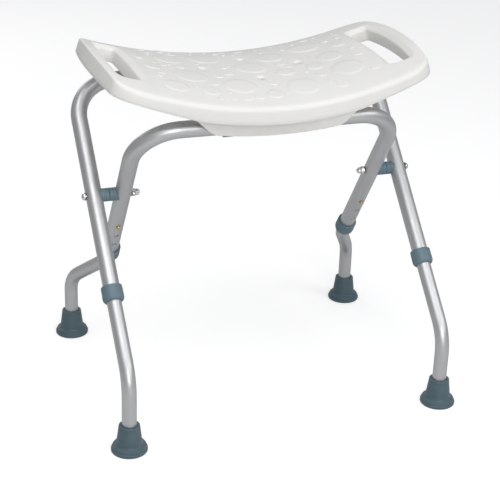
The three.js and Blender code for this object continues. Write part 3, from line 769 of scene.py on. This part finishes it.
def makeWasher(which, name, side, x):
    r, bore, thick = pivot["washer"], pivot["bore"], 0.0012
    profile = rounded([(bore, 0.0002), (bore + 0.0002, 0), (r - 0.0004, 0, 0.0003), (r, 0.0004, 0.0003),
                       (r, thick - 0.0004, 0.0003), (r - 0.0004, thick, 0.0003), (bore + 0.0002, thick),
                       (bore, thick - 0.0002)])
    place = placeAlong(atPivot(side, x), Vector((-side, 0, 0)), (0, 0, 1))
    piece = turned(f"pivot_{which}_washer_{name}_ring", profile, "steel", place, closed=True)
    hand(piece, "outer_frame", "steel", f"pivot_{which}_washer_{name}")


def makeCapNut(name, side):
    # six flats with their corners turned off, and a high dome
    r, bore, dome = pivot["nut"], 0.00425, 0.0119
    place = placeAlong(atPivot(side, innerFace - 0.0018), Vector((-side, 0, 0)), (0, 0, 1))
    around, rings = 72, []
    flatTop, base = 0.0046, 0.0006
    for z, shrink in ((0, 0.93), (base, 1), (flatTop - 0.0008, 1), (flatTop, 0.9)):
        ring = []
        for k in range(around):
            angle = 2 * math.pi * k / around
            local = (angle + math.pi / 6) % (math.pi / 3) - math.pi / 6
            flat = r * math.cos(math.pi / 6) / math.cos(local)
            reach = min(flat, r * shrink)
            ring.append((reach * math.cos(angle), reach * math.sin(angle), z))
        rings.append(ring)
    domeLine = rounded([(0.0052, flatTop), (0.0052, 0.0068, 0.001), (0.0048, 0.0095, 0.0016),
                        (0.0032, dome - 0.0005, 0.002), (0.0004, dome)], 6)
    inside = [(0.0004, 0.0086), (bore, 0.0086), (bore, 0.0006), (bore + 0.0004, 0)]
    rings += [circlePoints(p[0], p[1], around) for p in domeLine + inside]
    verts = [place @ Vector(v) for ring in rings for v in ring]
    faces = []
    domeEnd = 3 + len(domeLine)
    for i in range(len(rings)):
        j = (i + 1) % len(rings)
        if i == domeEnd:
            faces.append(tuple(i * around + k for k in range(around)))
            faces.append(tuple(j * around + k for k in reversed(range(around))))
            continue
        faces += ringFaces(i * around, j * around, around)
    piece = newPiece(f"pivot_cap_nut_{name}_domed", verts, faces, "chrome", 30)
    hand(piece, "outer_frame", "chrome", f"pivot_cap_nut_{name}")


seat = {
    "yCentre": 0.032, "z": 0.502, "halfWidth": 0.250, "halfDepth": 0.150, "bow": 0.014,
    "frontBow": 0.013, "corner": 0.040,
    "dish": 0.68, "crown": 0.0145, "crownReach": 0.145, "crownPower": 2.5,
    "wall": 0.005, "plate": 0.0045, "rim": 0.026, "frontRound": 0.0068, "endRound": 0.0030,
}
slotPlan = {"inner": 0.1875, "outer": 0.236, "half": 0.092, "corner": 0.016, "slope": 0.0062,
            "slopeDrop": 0.0052, "collar": 0.004}
drain = {"radius": 0.0054, "x": 0.0775, "y": 0.049, "wall": 0.0025}
lean = {"from": 0.150, "run": 0.050}
cornerLift = {"from": 0.125, "run": 0.080, "share": 0.6}


def crownDrop(y):
    return seat["crown"] * (abs(y - seat["yCentre"]) / seat["crownReach"]) ** seat["crownPower"]


def seatHeight(x, y):
    return seat["z"] + seat["dish"] * x * x - crownDrop(y)


def towardsEnds(x, ramp):
    return min(max((abs(x) - ramp["from"]) / ramp["run"], 0), 1)


def underSeat(x, y, drop):
    # so far below the top; the walls lean out at the ends, and the rim is shallower at the corners
    lift = cornerLift["share"] * towardsEnds(x, cornerLift) * crownDrop(y)
    drop -= lift * (drop / seat["rim"]) ** 2
    return Vector((x + 2 * seat["dish"] * x * drop * towardsEnds(x, lean), y, seatHeight(x, y) - drop))


def curvePoints(a, control, b, count):
    a, control, b = Vector(a), Vector(control), Vector(b)
    shares = [k / count for k in range(count)]
    return [a * (1 - t) ** 2 + control * 2 * t * (1 - t) + b * t * t for t in shares]


def linePoints(a, b, count):
    return [Vector(a).lerp(Vector(b), k / count) for k in range(count)]


def seatOutline():
    w, d, r, y = seat["halfWidth"], seat["halfDepth"], seat["corner"], seat["yCentre"]
    endX = w - seat["bow"] * ((d - r) / d) ** 2
    bowX = 2 * w - endX
    cornerX = endX - r * (bowX - endX) / (d - r)
    front = y - d + seat["frontBow"]
    frontCorner = front + 2 * seat["frontBow"] * r / (cornerX - r)
    half = curvePoints((0, y - d), ((cornerX - r) / 2, y - d), (cornerX - r, front), 50)
    half += curvePoints((cornerX - r, front), (cornerX, frontCorner), (endX, y - d + r), 18)
    half += curvePoints((endX, y - d + r), (bowX, y), (endX, y + d - r), 60)
    half += curvePoints((endX, y + d - r), (cornerX, y + d), (cornerX - r, y + d), 18)
    half += linePoints((cornerX - r, y + d), (0, y + d), 50)
    return half + [Vector((0, y + d))] + [Vector((-p.x, p.y)) for p in reversed(half[1:])]


def slotOutline(side):
    inner, outer, half, r = slotPlan["inner"], slotPlan["outer"], slotPlan["half"], slotPlan["corner"]
    y = seat["yCentre"]
    endX = outer - seat["bow"] * ((half - r) / seat["halfDepth"]) ** 2
    loop = curvePoints((inner, y - half + r), (inner, y - half), (inner + r, y - half), 10)
    loop += linePoints((inner + r, y - half), (endX - r, y - half), 5)
    loop += curvePoints((endX - r, y - half), (endX, y - half), (endX, y - half + r), 10)
    loop += curvePoints((endX, y - half + r), (2 * outer - endX, y), (endX, y + half - r), 40)
    loop += curvePoints((endX, y + half - r), (endX, y + half), (endX - r, y + half), 10)
    loop += linePoints((endX - r, y + half), (inner + r, y + half), 5)
    loop += curvePoints((inner + r, y + half), (inner, y + half), (inner, y + half - r), 10)
    loop += linePoints((inner, y + half - r), (inner, y - half + r), 40)
    return loop if side > 0 else [Vector((-p.x, p.y)) for p in reversed(loop)]


def drainOutline(x, y):
    return [Vector((x, y)) + Vector((math.cos(a), math.sin(a))) * drain["radius"]
            for a in (2 * math.pi * k / 28 for k in range(28))]


def outwardNormals(loop):
    made = []
    for i in range(len(loop)):
        way = (loop[(i + 1) % len(loop)] - loop[i - 1]).normalized()
        made.append(Vector((way.y, -way.x)))
    return made


def drainCentres():
    y = seat["yCentre"] + 0.001
    return [(-drain["x"], y), (drain["x"], y), (0, y - drain["y"]), (0, y + drain["y"])]


def rimSteps(normal):
    # (outward, drop) pairs from the top face, over the edge, down the wall and up inside
    soft = abs(normal.y) ** 1.5
    r = seat["endRound"] + (seat["frontRound"] - seat["endRound"]) * soft
    turns = [math.radians(a) for a in range(0, 91, 15)]
    steps = [(-r * (1 - math.sin(t)), r * (1 - math.cos(t))) for t in turns]
    bottom, wall = seat["rim"], seat["wall"]
    steps += [(0, 0.011), (0, 0.018), (0, bottom - 0.0012), (-0.0004, bottom - 0.0004), (-0.0012, bottom)]
    steps += [(-wall + 0.001, bottom), (-wall + 0.0003, bottom - 0.0003), (-wall, bottom - 0.001)]
    steps += [(-wall, 0.015)]
    return steps + [(-wall, seat["plate"] + 0.002), (-wall - 0.0006, seat["plate"] + 0.0006),
                    (-wall - 0.002, seat["plate"])]


def slotSteps(normal):
    run, fall, bottom, wall = slotPlan["slope"], slotPlan["slopeDrop"], seat["rim"], slotPlan["collar"]
    steps = [(0.0022, 0), (0.0012, 0.00008), (0.0004, 0.0004), (-0.0004, 0.0010)]
    steps += [(-run * t, 0.0010 + (fall - 0.0010) * t) for t in (0.35, 0.65, 0.9)]
    steps += [(-run - 0.0001, fall + 0.0006), (-run - 0.0004, fall + 0.0018), (-run - 0.0005, 0.012)]
    inside = -run - 0.0005
    steps += [(inside, 0.019), (inside, bottom - 0.001), (inside + 0.0003, bottom - 0.0003)]
    steps += [(inside + 0.001, bottom)]
    steps += [(inside + wall - 0.001, bottom), (inside + wall, bottom - 0.001), (inside + wall, 0.015)]
    return steps + [(inside + wall, seat["plate"] + 0.002), (inside + wall + 0.0006, seat["plate"] + 0.0006),
                    (inside + wall + 0.002, seat["plate"])]


def drainSteps(normal):
    bottom, wall = seat["rim"], drain["wall"]
    steps = [(0.0034, 0), (0.0026, 0.0002), (0.0018, 0.0008), (0.0006, 0.0022), (0.0001, 0.0032), (0, 0.0045)]
    steps += [(0, 0.012), (0, bottom - 0.0005)]
    steps += [(0.0005, bottom), (wall - 0.0005, bottom), (wall, bottom - 0.0005), (wall, 0.014)]
    return steps + [(wall, seat["plate"] + 0.001), (wall + 0.001, seat["plate"])]


def inLoop(point, loop):
    inside = False
    for a, b in zip(loop, loop[1:] + loop[:1]):
        if (a.y > point.y) != (b.y > point.y):
            if point.x < (b.x - a.x) * (point.y - a.y) / (b.y - a.y) + a.x:
                inside = not inside
    return inside


def makeSeatShell():
    verts, faces = [], []
    loops = [(seatOutline(), rimSteps, 1)]
    loops += [(slotOutline(side), slotSteps, -1) for side in (-1, 1)]
    loops += [(drainOutline(x, y), drainSteps, -1) for x, y in drainCentres()]
    topRings, lowRings = [], []
    for loop, stepsFor, way in loops:
        normals = outwardNormals(loop)
        walk = [stepsFor(n) for n in normals]
        base, count, depth = len(verts), len(loop), len(walk[0])
        for k in range(depth):
            for point, normal, steps in zip(loop, normals, walk):
                flat = point + normal * steps[k][0]
                verts.append(underSeat(flat.x, flat.y, steps[k][1]))
        for k in range(depth - 1):
            for i in range(count):
                j = (i + 1) % count
                faces.append((base + k * count + i, base + (k + 1) * count + i,
                              base + (k + 1) * count + j, base + k * count + j))
        topRings.append(list(range(base, base + count)))
        lowRings.append(list(range(base + (depth - 1) * count, base + depth * count)))
    for rings, drop in ((topRings, 0), (lowRings, seat["plate"])):
        fillFace(verts, faces, rings, drop)
    return verts, faces


fillGrid = {"step": 0.0062, "across": 40, "deep": 24, "clear": 0.0035}


def fillFace(verts, faces, rings, drop):
    # triangles between the rings, with an even grid of points so that the curve stays smooth
    flat = [Vector((verts[i].x, verts[i].y)) for ring in rings for i in ring]
    ids = [i for ring in rings for i in ring]
    edges, start = [], 0
    for ring in rings:
        count = len(ring)
        edges += [(start + k, start + (k + 1) % count) for k in range(count)]
        start += count
    border = kdtree.KDTree(len(flat))
    for i, point in enumerate(flat):
        border.insert((point.x, point.y, 0), i)
    border.balance()
    outlines = [[Vector((verts[i].x, verts[i].y)) for i in ring] for ring in rings]

    def onPlate(point):
        return inLoop(point, outlines[0]) and not any(inLoop(point, hole) for hole in outlines[1:])

    step = fillGrid["step"]
    for i in range(-fillGrid["across"], fillGrid["across"] + 1):
        for j in range(-fillGrid["deep"], fillGrid["deep"] + 1):
            point = Vector((i * step, seat["yCentre"] + j * step))
            near = border.find((point.x, point.y, 0))[2]
            if near < fillGrid["clear"] or not onPlate(point):
                continue
            flat.append(point)
            ids.append(len(verts))
            verts.append(Vector((point.x, point.y, seatHeight(point.x, point.y) - drop)))
    points, _, made, origin, _, _ = geometry.delaunay_2d_cdt(flat, edges, [], 1, 1e-7)
    lookup = [ids[where[0]] for where in origin]
    for face in made:
        centre = sum((points[i] for i in face), Vector((0, 0))) / 3
        if onPlate(centre):
            faces.append(tuple(lookup[i] for i in face))


skirt = {"yFront": -0.1015, "thick": 0.0045, "halfBottom": 0.101, "halfTop": 0.129, "drop": 0.050,
         "bulge": 0.006}


def makeSkirt():
    # a low wall behind the front rim; its lower edge bows down and its ends slant
    z = seatHeight(0, skirt["yFront"])
    low, high = z - skirt["drop"] + skirt["bulge"], z - seat["rim"] + 0.008
    half, wide = skirt["halfBottom"], skirt["halfTop"]
    corners = [(wide, high + 0.014), (wide, high, 0.004), (half, low, 0.010), (0, low - 0.0125)]
    slant = rounded(corners, 8)[:-1]
    lowest = z - skirt["drop"] - skirt["bulge"] * 1.2
    bottom = curvePoints(slant[-1], (0, lowest), (-slant[-1].x, slant[-1].y), 40)
    left = [Vector((-p.x, p.y)) for p in reversed(slant)]
    edge = slant + bottom[1:] + left
    tops = [Vector((p.x, seatHeight(p.x, skirt["yFront"]) - 0.003)) for p in edge]
    verts, faces = [], []
    count = len(edge)
    rounding = ((0, 0.0012), (0.0004, 0.0004), (0.0012, 0), (skirt["thick"] - 0.0012, 0),
                (skirt["thick"] - 0.0004, 0.0004), (skirt["thick"], 0.0012))
    for back, lift in rounding:
        for p, top in zip(edge, tops):
            shrink = 1 - lift / wide
            verts.append(Vector((p.x * shrink, skirt["yFront"] + back, p.y + lift)))
    rows = len(rounding)
    for back in (0, skirt["thick"]):
        verts += [Vector((p.x, skirt["yFront"] + back, p.y)) for p in tops]
    for k in range(rows - 1):
        for i in range(count - 1):
            faces.append((k * count + i, k * count + i + 1, (k + 1) * count + i + 1, (k + 1) * count + i))
    front, back = rows * count, (rows + 1) * count
    for i in range(count - 1):
        faces.append((i, i + 1, front + i + 1, front + i))
        faces.append(((rows - 1) * count + i, (rows - 1) * count + i + 1, back + i + 1, back + i))
        faces.append((front + i, front + i + 1, back + i + 1, back + i))
    for i in (0, count - 1):
        faces.append(tuple([k * count + i for k in range(rows)] + [back + i, front + i]))
    return verts, faces


saddle = {"x": 0.118, "width": 0.020, "bore": 0.0132, "halfDepth": 0.0215, "strap": 0.0022, "screwAt": 0.0182}
clip = {"x": 0.070, "width": 0.022, "bore": 0.0131, "screwAt": 0.021, "halfDepth": 0.026}
clipTop = frontBar.z + clip["bore"] + 0.008
gap = 0.0003


def boss(outline, x, width, topCount):
    # a block under the plate: the first points of its outline follow the underside
    verts = []
    for s in (-1, 1):
        for i, p in enumerate(outline):
            across = x + s * width / 2
            z = seatHeight(across, p[0]) - 0.003 if i < topCount else p[1]
            verts.append(Vector((across, p[0], z)))
    count = len(outline)
    faces = ringFaces(0, count, count)
    return verts, faces + [tuple(range(count)), tuple(reversed(range(count, 2 * count)))]


def seatBosses():
    parts = []
    for side in (-1, 1):
        y, half = rearBar.y, saddle["halfDepth"]
        top = [(y + half * t, 0) for t in (-1, -0.5, 0, 0.5, 1)]
        under = [(y + half, rearBar.z + gap)]
        under += [tuple(p) for p in arc((y, rearBar.z), saddle["bore"], 2, 178, 20)]
        under += [(y - half, rearBar.z + gap)]
        parts.append(boss(top + under, side * saddle["x"], saddle["width"], 5))
        front, back = skirt["yFront"] + 0.003, frontBar.y + clip["halfDepth"] + 0.001
        top = [(front + (back - front) * t, 0) for t in (0, 0.25, 0.5, 0.75, 1)]
        under = [(back, clipTop + gap), (front, clipTop + gap)]
        parts.append(boss(top + under, side * clip["x"], clip["width"], 5))
    return parts


def makeSeat():
    parts = [makeSeatShell(), makeSkirt()] + seatBosses()
    verts, faces = [], []
    for moreVerts, moreFaces in parts:
        base = len(verts)
        verts += moreVerts
        faces += [tuple(base + i for i in face) for face in moreFaces]
    piece = newPiece("seat_moulding", verts, faces, "seatPlastic", 50)
    return hand(piece, "seat", "seat", "seat_shell")


surfaceValues = {"Level": seat["z"], "Dish": seat["dish"], "Crown": seat["crown"],
                 "Reach": seat["crownReach"], "Power": seat["crownPower"], "Middle": seat["yCentre"]}
surfaceInputs = {label: ("NodeSocketFloat", value) for label, value in surfaceValues.items()}


def makeSurfaceGroup():
    # the seat's top surface as a height for any point in plan
    group, given, out = newGroup("seatSurface", "GeometryNodeTree", surfaceInputs,
                                 {"Height": "NodeSocketFloat"})
    place = addNode(group, "ShaderNodeSeparateXYZ",
                    {0: addNode(group, "GeometryNodeInputPosition").outputs["Position"]}).outputs
    dish = calculate(group, "MULTIPLY", calculate(group, "MULTIPLY", place["X"], place["X"]), given["Dish"])
    off = calculate(group, "ABSOLUTE", calculate(group, "SUBTRACT", place["Y"], given["Middle"]))
    bent = calculate(group, "POWER", calculate(group, "DIVIDE", off, given["Reach"]), given["Power"])
    drop = calculate(group, "MULTIPLY", bent, given["Crown"])
    height = calculate(group, "ADD", given["Level"], calculate(group, "SUBTRACT", dish, drop))
    group.links.new(height, out["Height"])
    return group


def ontoSeat(group, given, mesh):
    # lifts a mesh drawn about height zero onto the seat's surface
    surface = addNode(group, "GeometryNodeGroup", node_tree=seatSurface)
    for label in surfaceInputs:
        group.links.new(given[label], surface.inputs[label])
    lift = addNode(group, "ShaderNodeCombineXYZ", {"Z": surface.outputs["Height"]}).outputs["Vector"]
    return addNode(group, "GeometryNodeSetPosition", {"Geometry": mesh, "Offset": lift}).outputs["Geometry"]


def makeBubbleTree():
    group, given, out = newGroup(
        "seatBubbles", "GeometryNodeTree",
        {"Geometry": ("NodeSocketGeometry", None), "Around": ("NodeSocketInt", 40),
         "Raise": ("NodeSocketFloat", 0.0007), "Sink": ("NodeSocketFloat", 0.0012),
         "Material": ("NodeSocketMaterial", None), **surfaceInputs},
        {"Geometry": "NodeSocketGeometry"})
    height = calculate(group, "ADD", given["Raise"], given["Sink"])
    disc = addNode(group, "GeometryNodeMeshCone",
                   {"Vertices": given["Around"], "Side Segments": 1, "Fill Segments": 5, "Radius Top": 0.90,
                    "Radius Bottom": 1.03, "Depth": height}, fill_type="TRIANGLE_FAN").outputs["Mesh"]
    down = addNode(group, "ShaderNodeCombineXYZ", {"Z": calculate(group, "MULTIPLY", given["Sink"], -1.0)})
    disc = addNode(group, "GeometryNodeTransform",
                   {"Geometry": disc, "Translation": down.outputs[0]}).outputs[0]
    radius = addNode(group, "GeometryNodeInputNamedAttribute", {"Name": "bubbleRadius"}, data_type="FLOAT")
    size = addNode(group, "ShaderNodeCombineXYZ", {"X": radius.outputs[0], "Y": radius.outputs[0], "Z": 1.0})
    discs = addNode(group, "GeometryNodeInstanceOnPoints", {"Points": given["Geometry"], "Instance": disc,
                                                           "Scale": size.outputs[0]}).outputs["Instances"]
    real = addNode(group, "GeometryNodeRealizeInstances", {"Geometry": discs}).outputs["Geometry"]
    endTree(group, out, ontoSeat(group, given, real), given["Material"])
    return group


def makeRibTree():
    group, given, out = newGroup(
        "seatRibs", "GeometryNodeTree",
        {"Geometry": ("NodeSocketGeometry", None), "Thickness": ("NodeSocketFloat", 0.0026),
         "Depth": ("NodeSocketFloat", 0.016), "From": ("NodeSocketFloat", 0.0035),
         "Material": ("NodeSocketMaterial", None), **surfaceInputs},
        {"Geometry": "NodeSocketGeometry"})
    path = addNode(group, "GeometryNodeMeshToCurve", {"Mesh": given["Geometry"]}).outputs["Curve"]
    tall = calculate(group, "SUBTRACT", given["Depth"], given["From"])
    bar = addNode(group, "GeometryNodeCurvePrimitiveQuadrilateral",
                  {"Width": given["Thickness"], "Height": tall})
    strip = addNode(group, "GeometryNodeCurveToMesh", {"Curve": path, "Profile Curve": bar.outputs["Curve"],
                                                       "Fill Caps": True}).outputs["Mesh"]
    middle = calculate(group, "MULTIPLY", calculate(group, "ADD", given["Depth"], given["From"]), -0.5)
    down = addNode(group, "ShaderNodeCombineXYZ", {"Z": middle}).outputs[0]
    lowered = addNode(group, "GeometryNodeTransform", {"Geometry": strip, "Translation": down}).outputs[0]
    endTree(group, out, ontoSeat(group, given, lowered), given["Material"])
    return group


bubbles = {
    "raise": 0.0010, "sink": 0.0012, "around": 44, "seed": 11, "tries": 1800, "margin": 0.026, "most": 74,
    "reach": 0.178, "sizes": (0.0030, 0.0036, 0.0046, 0.0062, 0.0085), "apart": 0.0036, "drainRoom": 0.0025,
    # (x, y, radius) of the ones that set the pattern; the small ones fill in between
    "placed": [
        (-0.108, -0.010, 0.027), (0.000, 0.032, 0.027), (-0.043, -0.046, 0.027), (0.051, -0.062, 0.027),
        (0.135, -0.030, 0.027), (0.111, 0.099, 0.027), (0.129, 0.030, 0.021), (-0.145, -0.058, 0.020),
        (0.045, 0.0755, 0.024), (-0.060, 0.090, 0.027), (-0.120, 0.075, 0.024), (-0.094, -0.066, 0.0145),
        (0.0006, -0.078, 0.0135), (0.044, -0.003, 0.0145), (0.0935, 0.002, 0.014), (0.107, -0.078, 0.0095),
        (0.1685, -0.054, 0.0075), (0.168, 0.011, 0.0085), (0.160, 0.073, 0.012), (0.091, -0.033, 0.0085),
        (-0.046, -0.087, 0.008), (-0.045, 0.009, 0.0095), (0.010, -0.041, 0.0075), (-0.160, 0.020, 0.014),
    ],
}


def bubblePoints():
    chance = random.Random(bubbles["seed"])
    placed = [(Vector((x, y)), r) for x, y, r in bubbles["placed"]]
    avoid = [(Vector(c), drain["radius"] + bubbles["drainRoom"]) for c in drainCentres()]
    for _ in range(bubbles["tries"]):
        x = chance.uniform(-bubbles["reach"], bubbles["reach"])
        y = seat["yCentre"] + chance.uniform(-1, 1) * (seat["halfDepth"] - bubbles["margin"])
        r = chance.choice(bubbles["sizes"])
        spot = Vector((x, y))
        free = all((spot - p).length > r + q + bubbles["apart"] for p, q in placed + avoid)
        if free and len(placed) < bubbles["most"]:
            placed.append((spot, r))
    return placed


def makeBubbles():
    placed = bubblePoints()
    mesh = bpy.data.meshes.new("bubblePoints")
    mesh.from_pydata([(p.x, p.y, 0) for p, _ in placed], [], [])
    layer = mesh.attributes.new("bubbleRadius", "FLOAT", "POINT")
    layer.data.foreach_set("value", [r for _, r in placed])
    piece = grown("seat_bubbles", mesh, makeBubbleTree(),
                  {"Around": bubbles["around"], "Raise": bubbles["raise"], "Sink": bubbles["sink"],
                   "Material": materials["seatPlastic"], **surfaceValues})
    hand(settled(piece, 60), "seat", "seat", "seat_shell")
    print("bubbles on the seat:", len(placed))


ribs = {"thick": 0.0026, "depth": 0.016, "from": 0.0035, "pitch": 0.056, "step": 0.008, "bowReach": 0.197}


def ribRuns():
    # ribs end inside the walls that they meet, and stop at the drain tubes
    def run(a, b):
        count = max(2, round((b - a).length / ribs["step"]))
        return [a.lerp(b, k / count) for k in range(count + 1)]
    y, reach = seat["yCentre"], seat["halfDepth"] - 0.003
    runs = []
    for i in (-2.5, -1.5, -0.5, 0.5, 1.5, 2.5):
        x = i * ribs["pitch"]
        front = y - reach + seat["frontBow"] * (x / ribs["bowReach"]) ** 2
        runs.append(run(Vector((x, front, 0)), Vector((x, y + reach, 0))))
    collarX = slotPlan["inner"] + slotPlan["slope"] - 0.0015
    endX = seat["halfWidth"] - 0.0115
    gapX = drain["radius"] + 0.0012
    for i in (-2, -1, 0, 1, 2):
        half = endX if abs(i) == 2 else collarX
        stops = [-half, half]
        if i == 0:
            stops = [-half, -drain["x"] - gapX, -drain["x"] + gapX,
                     drain["x"] - gapX, drain["x"] + gapX, half]
        for a, b in zip(stops[::2], stops[1::2]):
            runs.append(run(Vector((a, y + i * ribs["pitch"], 0)), Vector((b, y + i * ribs["pitch"], 0))))
    return runs


def makeRibs():
    piece = grown("seat_ribs", linesMesh("ribLines", ribRuns()), makeRibTree(),
                  {"Thickness": ribs["thick"], "Depth": ribs["depth"], "From": ribs["from"],
                   "Material": materials["seatPlastic"], **surfaceValues})
    hand(settled(piece), "seat", "seat", "seat_shell")


def screwHoles(piece, plan, side, y, low, high):
    x = side * plan["x"]
    spots = [(Vector((x, y + s * plan["screwAt"], low)), Vector((x, y + s * plan["screwAt"], high)))
             for s in (-1, 1)]
    drilled(piece, pegs("drill", spots, screw["radius"] + gap))


def makeSaddle(name, side):
    y, z, out, half = rearBar.y, rearBar.z, saddle["bore"] + saddle["strap"], saddle["halfDepth"]
    top, ear = z - gap, 0.005
    outline = [(y - half, top), (y - half, top - ear), (y - out - 0.0004, top - ear)]
    outline += [tuple(p) for p in arc((y, z), out, 180 + 21, 360 - 21, 28)]
    outline += [(y + out + 0.0004, top - ear), (y + half, top - ear), (y + half, top)]
    outline += [(y + saddle["bore"], top)]
    outline += [tuple(p) for p in arc((y, z), saddle["bore"], -2, -178, 32)]
    piece = slabAlongX(f"rear_saddle_{name}_strap", outline, side * saddle["x"], saddle["width"],
                       "slatePlastic")
    settled(piece)
    screwHoles(piece, saddle, side, y, z - 0.012, z + 0.012)
    hand(piece, "seat", "slate", f"rear_saddle_{name}")


def makeClip(name, side):
    y, z, r, half = frontBar.y, frontBar.z, clip["bore"], clip["halfDepth"]
    ear = clipTop - 0.006
    outline = [(y - half, clipTop), (y - half, ear), (y - 0.0172, ear), (y - 0.0172, z - 0.009),
               (y - 0.0150, z - 0.0118), (y - 0.0120, z - 0.0125), (y - 0.0100, z - 0.0119)]
    outline += [tuple(p) for p in arc((y, z), r, -155, -330, 44)]
    outline += [(y + r + 0.0012, z + 0.0046), (y + r + 0.0034, z + 0.0040), (y + r + 0.0038, z + 0.0052),
                (y + r + 0.0032, ear), (y + half, ear), (y + half, clipTop)]
    piece = slabAlongX(f"front_clip_{name}_hook", outline, side * clip["x"], clip["width"],
                       "slatePlastic", 0.0005)
    settled(piece)
    screwHoles(piece, clip, side, y, z - 0.03, z + 0.04)
    hand(piece, "seat", "slate", f"front_clip_{name}")


screw = {"radius": 0.0015, "head": 0.0027, "headHeight": 0.0018}


def makeScrews():
    # one pan head screw with a cross recess, put at each of its places by geometry nodes
    r, head, tall = screw["radius"], screw["head"], screw["headHeight"]
    line = rounded([(0, -tall - gap), (head * 0.7, -tall - gap, 0.0006), (head, -gap - 0.0005, 0.0005),
                    (head, -gap)], 4)
    line += [Vector((r, -gap))]
    for k in range(13):
        z = 0.0012 + k * 0.0011
        line += [Vector((r, z)), Vector((r * 0.72, z + 0.0005))]
    line += [Vector((0.0004, 0.0178)), Vector((0, 0.018))]
    sample = turned("screwSample", line, "steel", Matrix.Identity(4), 20)
    cross = []
    for w, d in ((0.0017, 0.0003), (0.0003, 0.0017)):
        base = [(-w, -d), (w, -d), (w, d), (-w, d)]
        cross += [Vector((x, y, z)) for z in (-tall - gap - 0.001, -tall - gap + 0.0010) for x, y in base]
    box = [(0, 1, 2, 3), (7, 6, 5, 4), (0, 4, 5, 1), (1, 5, 6, 2), (2, 6, 7, 3), (3, 7, 4, 0)]
    for base in (0, 8):
        drilled(sample, newPiece("drill", cross[base:base + 8], box, "steel"))
    places, nodes = [], []
    for name, side in sides.items():
        for end, s in (("front", -1), ("rear", 1)):
            places.append((side * saddle["x"], rearBar.y + s * saddle["screwAt"], rearBar.z - 0.0053))
            nodes.append(f"rear_saddle_screw_{name}_{end}")
            places.append((side * clip["x"], frontBar.y + s * clip["screwAt"], clipTop - 0.006))
            nodes.append(f"front_clip_screw_{name}_{end}")
    group, given, out = newGroup(
        "screwSet", "GeometryNodeTree",
        {"Geometry": ("NodeSocketGeometry", None), "Screw": ("NodeSocketObject", None),
         "Material": ("NodeSocketMaterial", None)},
        {"Geometry": "NodeSocketGeometry"})
    shape = addNode(group, "GeometryNodeObjectInfo", {"Object": given["Screw"]}).outputs["Geometry"]
    turns = addNode(group, "FunctionNodeRandomValue", {"Min": (0, 0, 0), "Max": (0, 0, 3.1), "Seed": 4},
                    data_type="FLOAT_VECTOR").outputs["Value"]
    spots = addNode(group, "GeometryNodeMeshToPoints", {"Mesh": given["Geometry"]}).outputs["Points"]
    set8 = addNode(group, "GeometryNodeInstanceOnPoints", {"Points": spots, "Instance": shape,
                                                          "Rotation": turns}).outputs["Instances"]
    endTree(group, out, set8, given["Material"])
    mesh = bpy.data.meshes.new("screwPlaces")
    mesh.from_pydata(places, [], [])
    piece = grown("seat_screws", mesh, group, {"Screw": sample, "Material": materials["steel"]})
    hand(settled(piece), "seat", "steel", *nodes)
    bpy.data.objects.remove(sample)


def makeFloor():
    half = floorLook["size"] / 2
    mesh = bpy.data.meshes.new("floor")
    corners = [(-half, -half, 0), (half, -half, 0), (half, half, 0), (-half, half, 0)]
    mesh.from_pydata(corners, [], [(0, 1, 2, 3)])
    material = bpy.data.materials.new("floorPaint")
    material.use_nodes = True
    shader = material.node_tree.nodes["Principled BSDF"]
    shader.inputs["Base Color"].default_value = floorLook["colour"]
    shader.inputs["Roughness"].default_value = floorLook["rough"]
    shader.inputs["Emission Color"].default_value = (1, 1, 1, 1)
    # the glow whitens the floor itself and stays out of the metal's reflections
    seen = addNode(material.node_tree, "ShaderNodeLightPath").outputs["Is Camera Ray"]
    glow = calculate(material.node_tree, "MULTIPLY", seen, floorLook["glow"])
    material.node_tree.links.new(glow, shader.inputs["Emission Strength"])
    mesh.materials.append(material)
    made = addObject("floor", mesh)


makeCamera()
makeLights()
makeFloor()
tubeTree = makeTubeTree()
for end in frames:
    makeFrame(end)
    for name, side in sides.items():
        makeLeg(end, name, side)
        makeCollar(end, name, side)
        makeFoot(end, name, side)
        makeButton(end, name, side)
        makeSpring(end, name, side)
        makeSpacer(end, name, side)
print("frames and legs done")
for name, side in sides.items():
    makeBolt(name, side)
    makeWasher("head", name, side, outerFace + 0.0015)
    makeWasher("nut", name, side, innerFace - gap)
    makeCapNut(name, side)
    makeSaddle(name, side)
    makeClip(name, side)
makeScrews()
print("pivots and fixings done")
seatSurface = makeSurfaceGroup()
makeSeat()
makeBubbles()
makeRibs()
print("seat done")
